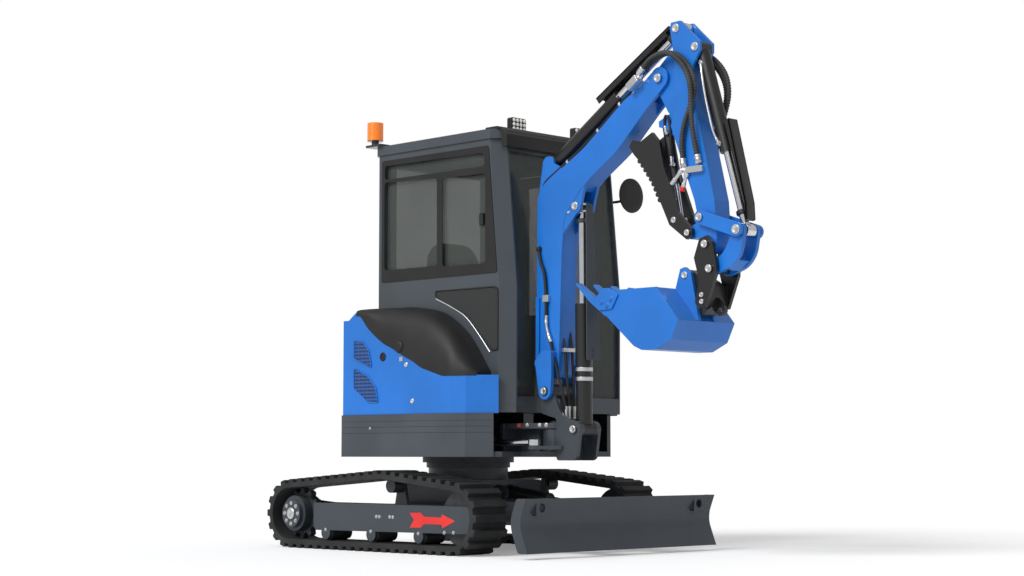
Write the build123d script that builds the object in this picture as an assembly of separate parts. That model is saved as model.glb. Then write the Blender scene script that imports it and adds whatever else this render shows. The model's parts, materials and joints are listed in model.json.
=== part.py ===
"""Mini excavator on rubber tracks, built as separate named parts in one shared frame.

Everything is modelled in the slew frame: +X forward, +Y left, +Z up, the origin on the ground
under the slew axis, millimetres. main() shifts each part so that the exported origin is the
bottom centre of the whole machine's box.
"""
from build123d import *
import math
import os

# Common fits
PIN_GAP = 0.5
SIDE_GAP = 2.0
BODY_GAP = 6.0
SEAT_GAP = 0.5
FAR = 4000.0

# Tracks
TRACK_OVERALL_W = 1500.0
BELT_W = 250.0
BELT_T = 28.0
LUG_H = 22.0
LUG_PITCH = 76.0
LUG_BASE = 44.0
LUG_TOP = 32.0
END_R = 200.0
REAR_WHEEL_X = -754.0
FRONT_WHEEL_X = 646.0
CARRIER_X = 60.0
CARRIER_RISE = 60.0
CARRIER_R = 40.0
TRACK_TOP = 2 * END_R + CARRIER_RISE
BELT_Y = TRACK_OVERALL_W / 2 - BELT_W / 2
BELT_OUT_R = END_R - LUG_H
BELT_IN_R = BELT_OUT_R - BELT_T
CARRIER_Z = TRACK_TOP - LUG_H - BELT_T - CARRIER_R
BELT_FLOOR = LUG_H + BELT_T

# Track frames and wheels
FRAME_INSET = 35.0
FRAME_W = 170.0
FRAME_OUT_Y = TRACK_OVERALL_W / 2 - FRAME_INSET
FRAME_IN_Y = FRAME_OUT_Y - FRAME_W
CHEEK_T = 20.0
FRAME_TOP = 266.0
FRAME_BOX_Z = 152.0
FRAME_REAR_X = -560.0
ROLLER_R = 45.0
ROLLER_X = (-450.0, -50.0, 350.0)
HUB_R = 104.0
HUB_COVER_R = 82.0
HUB_COVER_T = 24.0
SPROCKET_T = 40.0
SPROCKET_TEETH = 12

# Centre frame and slew ring
CENTRE_X = 300.0
CENTRE_Y = 300.0
CENTRE_Z0 = 230.0
CENTRE_Z1 = 400.0
LEG_X0 = 140.0
LEG_Z0 = 170.0
LEG_Z1 = 258.0
PEDESTAL_R = 235.0
RING_Z0 = 470.0
RING_FLANGE_Z = 500.0
RING_R = 270.0
DECK_Z0 = 533.0

# Dozer blade
BLADE_W = 1540.0
BLADE_FRONT_X = 1250.0
BLADE_Z0 = 32.0
BLADE_H = 285.0
BLADE_T = 28.0
BLADE_DEPTH = 62.0
BLADE_LEAN = 10.0
BLADE_BEND_R = 150.0
BLADE_HOLLOW = 0.55
BLADE_END_W = 70.0
BLADE_END_T = 16.0
BLADE_PIVOT = (380.0, 235.0)
BLADE_ARM_Y = 230.0
BLADE_ARM_W = 50.0
BLADE_ARM_H = 90.0
BLADE_EAR_T = 18.0
BLADE_PIN_R = 20.0
BLADE_CYL_FOOT = (345.0, 330.0)
BLADE_CYL_EYE = (900.0, 265.0)
TIE_HOLE_R = 24.0
TIE_PAD = 42.0
TIE_PAD_X0 = 1172.0
TIE_PAD_X1 = 1232.0
TIE_HOLE_Y = 640.0
TIE_HOLE_Z = 268.0

# House
TAIL_R = 750.0
SIDE_Y = 600.0
HOUSE_FRONT_X = 700.0
DECK_T = 30.0
SKIRT_T = 30.0
SKIRT_TOP = 775.0
WEIGHT_DEPTH = 420.0
WEIGHT_WALL = 120.0
WEIGHT_X = WEIGHT_DEPTH - TAIL_R
WEIGHT_TOP = 775.0
NOSE_LENGTH = 310.0
NOSE_ROOT_HALF_W = 140.0
SWING_X = 870.0
BOOM_Y = -150.0
EAR_T = 30.0
EAR_LOW_Z = DECK_Z0
EAR_HIGH_Z = 690.0
EAR_R = 80.0
SWING_PIN_R = 35.0
SWING_HUB_R = 75.0
SWING_CYL_FOOT = (150.0, -400.0)
SWING_CYL_EYE = (870.0, -330.0)
SWING_CYL_Z = 612.0
SWING_EYE_HALF = 16.0
SWING_EYE_R = 34.0
SWING_ROD_R = 18.0
SWING_BARREL_R = 36.0
SWING_FOOT_HALF = 38.0
SWING_LUG_T = 20.0
NOSE_WEB_W = 90.0

# Cab
CAB_Y0 = -400.0
CAB_Y1 = 600.0
CAB_REAR_X = WEIGHT_X - 60.0
CAB_FLOOR_Z = 780.0
CAB_FLOOR_T = 40.0
CAB_WAIST_Z = 1483.0
CAB_TOP_Z = 2322.0
CAB_LOW_FRONT_X = 730.0
CAB_WAIST_FRONT_X = 735.0
CAB_TOP_FRONT_X = 655.0
CAB_WALL = 45.0
CAB_CORNER = 70.0
ROOF_T = 55.0
ROOF_LIP = 10.0
GLASS_T = 6.0
DOOR_X0 = -150.0
DOOR_X1 = 560.0
DOOR_Z0 = 840.0
DOOR_Z1 = 2260.0
DOOR_T = 40.0
DOOR_FRAME_W = 70.0
DOOR_HINGE_R = 10.0
DOOR_PIN_R = 5.0
DOOR_HINGE_Z = (1000.0, 2050.0)
DOOR_HINGE_OUT = 12.0
WINDOW_Z0 = 1566.0
WINDOW_Z1 = 2262.0

# Hood over the engine
HOOD_Y = 420.0
HOOD_TOP = 1330.0
HOOD_T = 22.0
HOOD_HINGE_R = 12.0
HOOD_HINGE_Y = (-260.0, 260.0)
HOOD_PIN_R = 6.0
HOOD_HINGE_X = CAB_REAR_X - 30.0
HOOD_FRONT_X = HOOD_HINGE_X - 25.0
KNUCKLE_HALF = 30.0
LUG_T = 10.0
COVER_T = 25.0
ENGINE_HALF_W = 300.0
ENGINE_GAP = 40.0
ENGINE_TOP = 1180.0

# Swing bracket
CHEEK_IN = 64.0
CHEEK_OUT = 84.0
LEG_IN = 88.0
LEG_OUT = 110.0
CYL_CLEVIS_IN = 48.0
BRACKET_BOSS_R = 46.0
CHEEK_SETBACK = 76.0
BRACKET_Z0 = 514.0

# Boom
BOOM_FOOT = (880.0, 895.0)
BOOM_TIP = (1686.0, 2543.0)
BOOM_HALF_W = 62.0
FORK_T = 18.0
BOOM_PIN_R = 25.0
BOOM_FOOT_R = 52.0
BOOM_LEG_R = 46.0
BOOM_EAR_R = 43.0
BOOM_EAR_IN = 42.0
BOOM_EAR_OUT = 60.0
ROD_EYE_ROOM = 88.0
BOOM_TIP_R = 60.0
BOOM_CYL_FOOT = (1080.0, 684.0)
BOOM_CYL_EYE = (1068.0, 1913.0)
ARM_CYL_FOOT = (864.0, 2168.0)
BOOM_OUTLINE = [
    (812, 965, 40), (772, 1180, 300), (783, 2030, 140), (1137, 2226, 600), (1440, 2457, 200), (1560, 2520),
    (1600, 2430), (1577, 2370), (1383, 2185, 400), (1194, 2064, 200), (1100, 1990, 80), (985, 1850, 150),
    (968, 1650, 500), (942, 965, 40),
]
BOOM_LEG = [(806, 1065, 15), (860, 1121, 15), (930, 1119, 15), (934, 1000, 60)]

# Arm and linkage
ARM_HALF_W = 60.0
ARM_ROOT_HALF_W = 43.0
ARM_CYL_EYE = (1804.0, 2795.0)
BUCKET_CYL_FOOT = (1933.0, 2677.0)
ARM_END = (2027.0, 1627.0)
LINK_PIN = (1982.0, 1771.0)
LINK_EYE = (2220.0, 1688.0)
HITCH_PIN = (2054.0, 1498.0)
LINK_IN = 75.0
LINK_OUT = 92.0
LINK_R = 36.0
H_IN = 46.0
H_OUT = 70.0
HITCH_IN = 80.0
HITCH_OUT = 102.0
HITCH_BLOCK = 52.0
EYE_LUG = (2050.0, 1288.0)
EYE_LUG_R = 30.0
EYE_HOLE_R = 14.0
EYE_LUG_T = 24.0
EAR_PIN_A = (1864.0, 1478.0)
EAR_PIN_B = (1895.0, 1352.0)

# Bucket
BUCKET_HALF_W = 230.0
BUCKET_SIDE_T = 14.0
BUCKET_WALL = 16.0
EAR_IN = 52.0
EAR_OUT = 74.0
TOOTH_W = 44.0
TOOTH_COUNT = 4

# Thumb
THUMB_PIVOT = (1882.0, 1699.0)
THUMB_CYL_FOOT = (1690.0, 2300.0)
THUMB_CYL_EYE = (1787.0, 1774.0)
THUMB_IN = 48.0
THUMB_OUT = 68.0


def block(x0, x1, y0, y1, z0, z1):
    """Box between two corners."""
    return Pos((x0 + x1) / 2, (y0 + y1) / 2, (z0 + z1) / 2) * Box(x1 - x0, y1 - y0, z1 - z0)


def rounded_edges(corners):
    """Closed chain of edges through corners (u, v) or (u, v, r), where r rounds that corner."""
    entry = []
    leave = []
    bend = []
    for i, corner in enumerate(corners):
        at = Vector(corner[0], corner[1])
        radius = corner[2] if len(corner) > 2 else 0.0
        before = (Vector(*corners[i - 1][:2]) - at).normalized()
        after = (Vector(*corners[(i + 1) % len(corners)][:2]) - at).normalized()
        half = math.radians(before.get_angle(after)) / 2
        entry.append(at + before * (radius / math.tan(half)))
        leave.append(at + after * (radius / math.tan(half)))
        middle = (before + after).normalized() * (radius / math.sin(half) - radius) if radius else before * 0
        bend.append(at + middle)
    edges = []
    for i in range(len(corners)):
        if (leave[i] - entry[i]).length > PIN_GAP:
            edges.append(ThreePointArc(entry[i], bend[i], leave[i]))
        j = (i + 1) % len(corners)
        if (entry[j] - leave[i]).length > PIN_GAP:
            edges.append(Line(leave[i], entry[j]))
    return edges


def profile(corners):
    """Face inside a closed outline of corners, some of them rounded."""
    return make_face(rounded_edges(corners))


def slab(corners, y0, y1):
    """Prism of an XZ outline between two Y values."""
    plane = Plane(origin=(0, y1, 0), x_dir=(1, 0, 0), z_dir=(0, -1, 0))
    return extrude(plane * profile(corners), amount=y1 - y0)


def plan(corners, z0, z1):
    """Prism of an XY outline between two heights."""
    return extrude(Plane.XY.offset(z0) * profile(corners), amount=z1 - z0)


def rod_y(x, z, r, y0, y1):
    """Round bar along Y."""
    return Pos(x, (y0 + y1) / 2, z) * Rot(90, 0, 0) * Cylinder(r, y1 - y0)


def rod_z(x, y, r, z0, z1):
    """Round bar along Z."""
    return Pos(x, y, (z0 + z1) / 2) * Cylinder(r, z1 - z0)


def bar(p, q, r):
    """Round bar from point p to point q."""
    p = Vector(*p)
    q = Vector(*q)
    axis = q - p
    return Plane(origin=(p + q) / 2, z_dir=axis.normalized()) * Cylinder(r, axis.length)


def along(p, q, d):
    """XZ point at distance d from p towards q."""
    length = math.dist(p, q)
    return (p[0] + (q[0] - p[0]) * d / length, p[1] + (q[1] - p[1]) * d / length)


def union(parts):
    """Fuse a list of solids into one."""
    whole = parts[0]
    for item in parts[1:]:
        whole = whole + item
    return whole


def pill_corners(p, q, r0, r1):
    """Straight sides of a plate that tapers from half width r0 at p to r1 at q."""
    u = (q[0] - p[0]) / math.dist(p, q)
    v = (q[1] - p[1]) / math.dist(p, q)
    return [
        (p[0] - v * r0, p[1] + u * r0), (q[0] - v * r1, q[1] + u * r1),
        (q[0] + v * r1, q[1] - u * r1), (p[0] + v * r0, p[1] - u * r0),
    ]


def pill(p, q, r0, r1, y0, y1):
    """Plate in XZ with two round ends, tapering from r0 at p to r1 at q, between two Y values."""
    side = slab(pill_corners(p, q, r0, r1), y0, y1)
    return union([side, rod_y(*p, r0, y0, y1), rod_y(*q, r1, y0, y1)])


def flat_pill(p, q, r0, r1, z0, z1):
    """Plate in XY with two round ends, tapering from r0 at p to r1 at q, between two heights."""
    side = plan(pill_corners(p, q, r0, r1), z0, z1)
    return union([side, rod_z(*p, r0, z0, z1), rod_z(*q, r1, z0, z1)])


def mirrored(shape):
    """The same part on the machine's left side."""
    return mirror(shape, about=Plane.XZ)


# Tracks
def loop_path(grow):
    """Segments of the belt's hull round its three wheels, grown outward by grow."""
    wheels = [
        (REAR_WHEEL_X, END_R, BELT_OUT_R + grow),
        (FRONT_WHEEL_X, END_R, BELT_OUT_R + grow),
        (CARRIER_X, CARRIER_Z, CARRIER_R + BELT_T + grow),
    ]
    normals = []
    for i in range(3):
        x0, z0, r0 = wheels[i]
        x1, z1, r1 = wheels[(i + 1) % 3]
        dist = math.hypot(x1 - x0, z1 - z0)
        normals.append(math.atan2(z1 - z0, x1 - x0) - math.acos((r0 - r1) / dist))
    pieces = []
    for i in range(3):
        x0, z0, r0 = wheels[i]
        j = (i + 1) % 3
        x1, z1, r1 = wheels[j]
        a = normals[i]
        b = normals[j]
        while b < a:
            b += 2 * math.pi
        start = (x0 + r0 * math.cos(a), z0 + r0 * math.sin(a))
        end = (x1 + r1 * math.cos(a), z1 + r1 * math.sin(a))
        pieces.append(("line", start, end, a))
        pieces.append(("arc", (x1, z1), r1, a, b))
    return pieces


def loop_length(pieces):
    """Length of the loop."""
    total = 0.0
    for p in pieces:
        total += math.dist(p[1], p[2]) if p[0] == "line" else p[2] * (p[4] - p[3])
    return total


def loop_point(pieces, s):
    """Point and outward normal angle at distance s along the loop."""
    for p in pieces:
        size = math.dist(p[1], p[2]) if p[0] == "line" else p[2] * (p[4] - p[3])
        if s <= size:
            if p[0] == "line":
                f = s / size
                x = p[1][0] + (p[2][0] - p[1][0]) * f
                z = p[1][1] + (p[2][1] - p[1][1]) * f
                return x, z, p[3]
            a = p[3] + s / p[2]
            return p[1][0] + p[2] * math.cos(a), p[1][1] + p[2] * math.sin(a), a
        s -= size
    return loop_point(pieces, s)


def track():
    """Right rubber belt with its outer lugs, as one closed loop."""
    outer = loop_path(0.0)
    total = loop_length(outer)
    count = round(total / LUG_PITCH)
    step = total / count
    points = []
    for i in range(count):
        s = i * step
        marks = [(s, 0.0), (s + (LUG_BASE - LUG_TOP) / 2, LUG_H)]
        marks += [(s + (LUG_BASE + LUG_TOP) / 2, LUG_H), (s + LUG_BASE, 0.0)]
        for d, h in marks:
            x, z, a = loop_point(outer, d % total)
            points.append((x + h * math.cos(a), z + h * math.sin(a)))
    inner = []
    for p in loop_path(-BELT_T):
        if p[0] == "line":
            inner += [p[1], p[2]]
        else:
            n = max(3, round((p[4] - p[3]) / 0.16))
            for i in range(1, n):
                a = p[3] + (p[4] - p[3]) * i / n
                inner.append((p[1][0] + p[2] * math.cos(a), p[1][1] + p[2] * math.sin(a)))
    y0 = -BELT_Y - BELT_W / 2
    y1 = -BELT_Y + BELT_W / 2
    return slab(points, y0, y1) - slab(inner, y0 - 1, y1 + 1)


def track_frame():
    """Right track frame: box beam, two cheeks with roller lobes, carrier roller post."""
    y_out = -FRAME_OUT_Y
    y_in = -FRAME_IN_Y
    front = FRONT_WHEEL_X - END_R + 24
    beam = [
        (FRAME_REAR_X, FRAME_BOX_Z), (front, FRAME_BOX_Z), (front, FRAME_TOP - 6),
        (FRAME_REAR_X + 40, FRAME_TOP - 6), (FRAME_REAR_X, FRAME_TOP - 60),
    ]
    outer = [
        (FRAME_REAR_X, 130), (FRAME_REAR_X + 20, 108), (FRONT_WHEEL_X + 94, 118),
        (FRONT_WHEEL_X + 124, 150), (FRONT_WHEEL_X + 134, END_R), (FRONT_WHEEL_X + 124, 235),
        (FRONT_WHEEL_X + 94, FRAME_TOP), (FRAME_REAR_X, FRAME_TOP),
    ]
    inner = [
        (REAR_WHEEL_X, END_R - 80), (FRAME_REAR_X + 20, 108), (FRONT_WHEEL_X, 118),
        (FRONT_WHEEL_X + 60, END_R), (FRONT_WHEEL_X, FRAME_TOP), (FRAME_REAR_X, FRAME_TOP),
        (REAR_WHEEL_X, END_R + 80),
    ]
    parts = [
        slab(beam, y_out + CHEEK_T, y_in - CHEEK_T),
        slab(outer, y_out, y_out + CHEEK_T),
        slab(inner, y_in - CHEEK_T, y_in),
        rod_y(REAR_WHEEL_X, END_R, 80, y_in - CHEEK_T, y_in),
    ]
    for x in ROLLER_X:
        parts.append(rod_y(x, BELT_FLOOR + ROLLER_R, ROLLER_R - 6, y_out, y_out + CHEEK_T))
        parts.append(rod_y(x, BELT_FLOOR + ROLLER_R, ROLLER_R - 6, y_in - CHEEK_T, y_in))
    post = [
        (CARRIER_X - 55, FRAME_TOP - 20), (CARRIER_X + 55, FRAME_TOP - 20),
        (CARRIER_X + 24, CARRIER_Z + 20), (CARRIER_X - 24, CARRIER_Z + 20),
    ]
    parts.append(slab(post, -BELT_Y + 40, -BELT_Y + 62))
    return union(parts)


def track_wheels():
    """Right idler, four bottom rollers and the carrier roller."""
    y0 = -FRAME_OUT_Y + CHEEK_T
    y1 = -FRAME_IN_Y - CHEEK_T
    r = BELT_IN_R - SEAT_GAP
    idler = rod_y(FRONT_WHEEL_X, END_R, r, -BELT_Y - 45, -BELT_Y + 45)
    idler = idler + rod_y(FRONT_WHEEL_X, END_R, 60, y0, y1)
    wheels = [idler]
    for x in ROLLER_X:
        wheels.append(rod_y(x, BELT_FLOOR + ROLLER_R, ROLLER_R - SEAT_GAP, y0, y1))
    wheels.append(rod_y(CARRIER_X, CARRIER_Z, CARRIER_R - SEAT_GAP, -BELT_Y - 40, -BELT_Y + 40))
    return Compound(wheels)


def final_drive():
    """Right drive motor hub with the sprocket and the round outer cover."""
    y1 = -FRAME_IN_Y - CHEEK_T
    y0 = -FRAME_OUT_Y + CHEEK_T - 10
    tip = BELT_IN_R - 2
    root = tip - 26
    points = []
    for i in range(SPROCKET_TEETH):
        a = 2 * math.pi * i / SPROCKET_TEETH
        w = 2 * math.pi / SPROCKET_TEETH
        for f, r in ((-0.34, root), (-0.14, tip), (0.14, tip), (0.34, root)):
            points.append((REAR_WHEEL_X + r * math.cos(a + f * w), END_R + r * math.sin(a + f * w)))
    parts = [
        rod_y(REAR_WHEEL_X, END_R, HUB_R, y0, y1),
        slab(points, -BELT_Y - SPROCKET_T / 2, -BELT_Y + SPROCKET_T / 2),
        rod_y(REAR_WHEEL_X, END_R, HUB_COVER_R, y0 - HUB_COVER_T, y0),
    ]
    return union(parts)


def centre_frame():
    """Centre box, four legs to the track frames, pedestal and the blade's ears."""
    parts = [
        block(-CENTRE_X, CENTRE_X, -CENTRE_Y, CENTRE_Y, CENTRE_Z0, CENTRE_Z1),
        rod_z(0, 0, PEDESTAL_R, CENTRE_Z1, RING_Z0),
    ]
    for sx in (-1, 1):
        x0, x1 = sorted((sx * LEG_X0, sx * CENTRE_X))
        parts.append(block(x0, x1, -FRAME_IN_Y, FRAME_IN_Y, LEG_Z0, LEG_Z1))
    px, pz = BLADE_PIVOT
    for sy in (-1, 1):
        for side in (-1, 1):
            near = side * (BLADE_ARM_W / 2 + SIDE_GAP)
            far = side * (BLADE_ARM_W / 2 + SIDE_GAP + BLADE_EAR_T)
            y0, y1 = sorted((sy * BLADE_ARM_Y + near, sy * BLADE_ARM_Y + far))
            parts.append(pill((CENTRE_X - 50, CENTRE_Z0 + 60), (px, pz), 55, 42, y0, y1))
        reach = BLADE_ARM_W / 2 + SIDE_GAP + BLADE_EAR_T
        parts.append(rod_y(px, pz, BLADE_PIN_R, sy * BLADE_ARM_Y - reach, sy * BLADE_ARM_Y + reach))
    fx, fz = BLADE_CYL_FOOT
    for sy in (-1, 1):
        y0, y1 = sorted((sy * 41, sy * 59))
        parts.append(pill((CENTRE_X - 40, fz), (fx, fz), 50, 36, y0, y1))
    parts.append(rod_y(fx, fz, 16, -59, 59))
    return union(parts)


def slew_ring():
    """Slewing bearing with its bolted flange."""
    return rod_z(0, 0, PEDESTAL_R + 12, RING_Z0, RING_FLANGE_Z) + rod_z(
        0, 0, RING_R, RING_FLANGE_Z, DECK_Z0 - SEAT_GAP)


# Dozer blade
def blade_front():
    """Front line of the mouldboard: cutting edge, curved hollow, flat upper band."""
    hollow = (BLADE_FRONT_X - BLADE_DEPTH, BLADE_Z0 + BLADE_HOLLOW * BLADE_H, BLADE_BEND_R)
    return [(BLADE_FRONT_X, BLADE_Z0), hollow, (BLADE_FRONT_X - BLADE_LEAN, BLADE_Z0 + BLADE_H)]


def blade_board():
    """Mouldboard plate over the blade's full width."""
    front = blade_front()
    back = [(x - BLADE_T, *rest) for x, *rest in reversed(front)]
    return slab(front + back, -BLADE_W / 2, BLADE_W / 2)


def blade():
    """Mouldboard with end plates and two tie-down holes."""
    end = [(x - BLADE_END_W, z, 20) for x, z, *rest in reversed(blade_front())]
    end[1] = (end[1][0], end[1][1], BLADE_BEND_R)
    half = BLADE_W / 2
    parts = [blade_board()]
    for sy in (-1, 1):
        y0, y1 = sorted((sy * (half - BLADE_END_T), sy * half))
        parts.append(slab(blade_front() + end, y0, y1))
        ty = sy * TIE_HOLE_Y
        pad = block(TIE_PAD_X0, TIE_PAD_X1, ty - TIE_PAD, ty + TIE_PAD, TIE_HOLE_Z - TIE_PAD, TIE_HOLE_Z + TIE_PAD)
        parts.append(pad)
    whole = union(parts)
    for sy in (-1, 1):
        hole = Rot(0, 90, 0) * Cylinder(TIE_HOLE_R, 4 * BLADE_DEPTH)
        whole = whole - Pos(BLADE_FRONT_X - BLADE_DEPTH, sy * TIE_HOLE_Y, TIE_HOLE_Z) * hole
    return whole


def blade_arms():
    """Two push arms behind the mouldboard, their cross beam and the lift cylinder's ears."""
    px, pz = BLADE_PIVOT
    h = BLADE_ARM_H / 2
    back_x = BLADE_FRONT_X - BLADE_DEPTH
    foot_z = BLADE_Z0 + BLADE_HOLLOW * BLADE_H
    knee_x = px + 0.4 * (back_x - px)
    arm = [(px, pz - h), (knee_x, pz - h, 200), (back_x, foot_z - h - 20), (back_x, foot_z + h + 20),
           (knee_x, pz + h, 200), (px, pz + h)]
    parts = []
    for sy in (-1, 1):
        y0 = sy * BLADE_ARM_Y - BLADE_ARM_W / 2
        y1 = sy * BLADE_ARM_Y + BLADE_ARM_W / 2
        one = slab(arm, y0, y1) + rod_y(px, pz, h, y0, y1)
        parts.append(one - rod_y(px, pz, BLADE_PIN_R + PIN_GAP, y0 - 1, y1 + 1))
    ex, ez = BLADE_CYL_EYE
    parts.append(block(ex - 20, ex + 90, -BLADE_ARM_Y, BLADE_ARM_Y, pz - 75, pz - 25))
    for sy in (-1, 1):
        y0, y1 = sorted((sy * 34, sy * 52))
        ear = [(ex - 20, pz - 40), (ex + 90, pz - 40), (ex + 30, ez + 20), (ex - 22, ez + 20)]
        parts.append(slab(ear, y0, y1) + rod_y(ex, ez, 30, y0, y1))
    return union(parts) - blade_board()


# Cylinders
def barrel(foot, eye, y, radius, length, eye_r, half_w, pin_r, rod_r, depth0):
    """Cylinder tube from its foot pin towards its eye, with a blind bore for the rod."""
    a = along(foot, eye, eye_r * 0.6)
    b = along(foot, eye, length)
    body = bar((a[0], y, a[1]), (b[0], y, b[1]), radius)
    body = body + rod_y(foot[0], foot[1], eye_r, y - half_w, y + half_w)
    body = body - rod_y(foot[0], foot[1], pin_r + PIN_GAP, y - radius - half_w, y + radius + half_w)
    c = along(foot, eye, depth0)
    d = along(foot, eye, length + 10)
    return body - bar((c[0], y, c[1]), (d[0], y, d[1]), rod_r + PIN_GAP)


def rod(foot, eye, y, rod_r, start, eye_r, half_w):
    """Cylinder rod from inside its tube to an open eye."""
    full = math.dist(foot, eye)
    a = along(foot, eye, start)
    b = along(foot, eye, full - eye_r * 0.5)
    body = bar((a[0], y, a[1]), (b[0], y, b[1]), rod_r)
    body = body + rod_y(eye[0], eye[1], eye_r, y - half_w, y + half_w)
    return body - rod_y(eye[0], eye[1], eye_r * 0.5, y - half_w - 1, y + half_w + 1)


# House
def house_outline(inset, front=HOUSE_FRONT_X):
    """Plan of the upper body: tail arc, two straight sides and a cut front right corner."""
    r = TAIL_R - inset
    side = SIDE_Y - inset
    start = math.pi - math.asin(side / r)
    points = []
    for i in range(17):
        a = start + (2 * math.pi - 2 * start) * i / 16
        points.append((r * math.cos(a), r * math.sin(a)))
    points += [(470.0, -side), (560.0 - inset * 0.4, -side + 40), (front, -side + 175)]
    points += [(front, side - 120), (front - 120, side)]
    return points


def swing_deck():
    """Deck plate with the nose that holds the swing pin between two ears."""
    y = BOOM_Y
    web_x = SWING_X - EAR_R - 2 * BODY_GAP
    root_x = SWING_X - NOSE_LENGTH
    wide = NOSE_ROOT_HALF_W
    plate = plan(house_outline(SKIRT_T / 2), DECK_Z0, DECK_Z0 + DECK_T)
    tongue = [(root_x, y - wide), (SWING_X, y - EAR_R), (SWING_X, y + EAR_R), (root_x, y + wide)]
    parts = [plate]
    for z in (EAR_LOW_Z, EAR_HIGH_Z):
        parts.append(plan(tongue, z, z + EAR_T) + rod_z(SWING_X, y, EAR_R, z, z + EAR_T))
    parts.append(block(root_x, web_x, y - NOSE_WEB_W / 2, y + NOSE_WEB_W / 2, DECK_Z0, EAR_HIGH_Z + EAR_T))
    parts.append(block(root_x, root_x + DECK_T, y - wide, y + wide, DECK_Z0, EAR_HIGH_Z + EAR_T))
    parts.append(rod_z(SWING_X, y, SWING_PIN_R, EAR_LOW_Z, EAR_HIGH_Z + EAR_T + 2 * BODY_GAP))
    fx, fy = SWING_CYL_FOOT
    parts.append(rod_z(fx, fy, 30, DECK_Z0, SWING_CYL_Z - SWING_FOOT_HALF - SIDE_GAP))
    parts.append(rod_z(fx, fy, 20, DECK_Z0, SWING_CYL_Z + SWING_FOOT_HALF + SIDE_GAP))
    return union(parts)


def skirt():
    """Low side skirt round the deck, open at the front where the swing cylinder passes."""
    outer = plan(house_outline(0.0), DECK_Z0, SKIRT_TOP)
    inner = plan(house_outline(SKIRT_T / 2), DECK_Z0 - 1, DECK_Z0 + DECK_T + 0.0)
    hollow = plan(house_outline(SKIRT_T), DECK_Z0 + DECK_T, SKIRT_TOP + 1)
    ring = outer - inner - hollow
    ring = ring - block(-FAR, WEIGHT_X, -FAR, FAR, 0, FAR)
    return ring - block(540, FAR, BOOM_Y - 300, BOOM_Y + 260, DECK_Z0 - 1, SKIRT_TOP + 1)


def counterweight():
    """Cast tail weight behind the engine."""
    outer = plan(house_outline(0.0), DECK_Z0, WEIGHT_TOP)
    deck = plan(house_outline(SKIRT_T / 2), DECK_Z0 - 1, DECK_Z0 + DECK_T)
    hollow = plan(house_outline(WEIGHT_WALL), DECK_Z0, WEIGHT_TOP + 1)
    whole = outer - deck - hollow
    return whole & block(-FAR, WEIGHT_X, -FAR, FAR, 0, FAR)


COVER_LINE = [(-340.0, 1372.0), (-223.0, 1340.0), (-120.0, 1250.0), (50.0, 1142.0), (230.0, 1040.0),
              (412.0, 987.0), (720.0, 987.0)]


def side_cover():
    """Right outer cover with its curved upper edge."""
    outer = plan(house_outline(8.0), SKIRT_TOP, 1500)
    hollow = plan(house_outline(8.0 + COVER_T), SKIRT_TOP - 1, 1501)
    shell = outer - hollow
    edge = [(-FAR, 0.0), (-FAR, HOOD_TOP), (-400.0, HOOD_TOP)] + COVER_LINE + [(FAR, 987.0), (FAR, 0.0)]
    shell = shell & slab(edge, -FAR, -HOOD_Y - BODY_GAP)
    shell = shell - block(-FAR, WEIGHT_X, -FAR, FAR, 0, WEIGHT_TOP)
    return shell - block(HOUSE_FRONT_X - 60, FAR, -400, FAR, 0, FAR)


def tank_cover():
    """Black moulded cover that sweeps from behind the cab down under its side window."""
    crest = [(-340.0, 1408.0), (-140.0, 1402.0), (60.0, 1392.0), (171.0, 1374.0), (300.0, 1310.0),
             (450.0, 1180.0), (560.0, 1060.0), (640.0, 994.0)]
    low = [(x, z) for x, z in COVER_LINE if x < 600]
    side = -SIDE_Y + 8.0
    body = slab(crest + [(640.0, 987.0)] + low[::-1], side, CAB_Y0 - 2)
    limit = plan(house_outline(8.0), 900, 1500)
    body = body & limit
    cut = slab(crest + [(640.0, FAR), (-400.0, FAR)], -FAR, FAR)
    return body - Pos(0, -165, -70) * cut


def left_cover():
    """Left rear corner cover beside the hood."""
    outer = plan(house_outline(8.0), SKIRT_TOP, HOOD_TOP)
    hollow = plan(house_outline(8.0 + COVER_T), SKIRT_TOP - 1, HOOD_TOP - COVER_T)
    shell = (outer - hollow) & block(-FAR, CAB_REAR_X - BODY_GAP, HOOD_Y + BODY_GAP, FAR, 0, FAR)
    return shell - block(-FAR, WEIGHT_X, -FAR, FAR, 0, WEIGHT_TOP)


def engine():
    """Engine as one plain block on the deck."""
    tail = -math.sqrt((TAIL_R - WEIGHT_WALL) ** 2 - ENGINE_HALF_W ** 2) + 3 * BODY_GAP
    return block(tail, CAB_REAR_X - ENGINE_GAP, -ENGINE_HALF_W, ENGINE_HALF_W, DECK_Z0 + DECK_T, ENGINE_TOP)


def hood():
    """Rear engine hood, hinged along its top front edge."""
    outer = plan(house_outline(10.0), WEIGHT_TOP + BODY_GAP, HOOD_TOP)
    hollow = plan(house_outline(10.0 + HOOD_T), WEIGHT_TOP, HOOD_TOP - HOOD_T)
    shell = (outer - hollow) & block(-FAR, HOOD_FRONT_X, -HOOD_Y, HOOD_Y, 0, FAR)
    z = HOOD_TOP - HOOD_HINGE_R
    h = KNUCKLE_HALF
    for y in HOOD_HINGE_Y:
        shell = shell + block(HOOD_FRONT_X - 40, HOOD_HINGE_X, y - h, y + h, z - 10, z + HOOD_HINGE_R)
        shell = shell + rod_y(HOOD_HINGE_X, z, HOOD_HINGE_R, y - h, y + h)
        shell = shell - rod_y(HOOD_HINGE_X, z, HOOD_PIN_R + PIN_GAP, y - h - 1, y + h + 1)
    return shell


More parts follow.
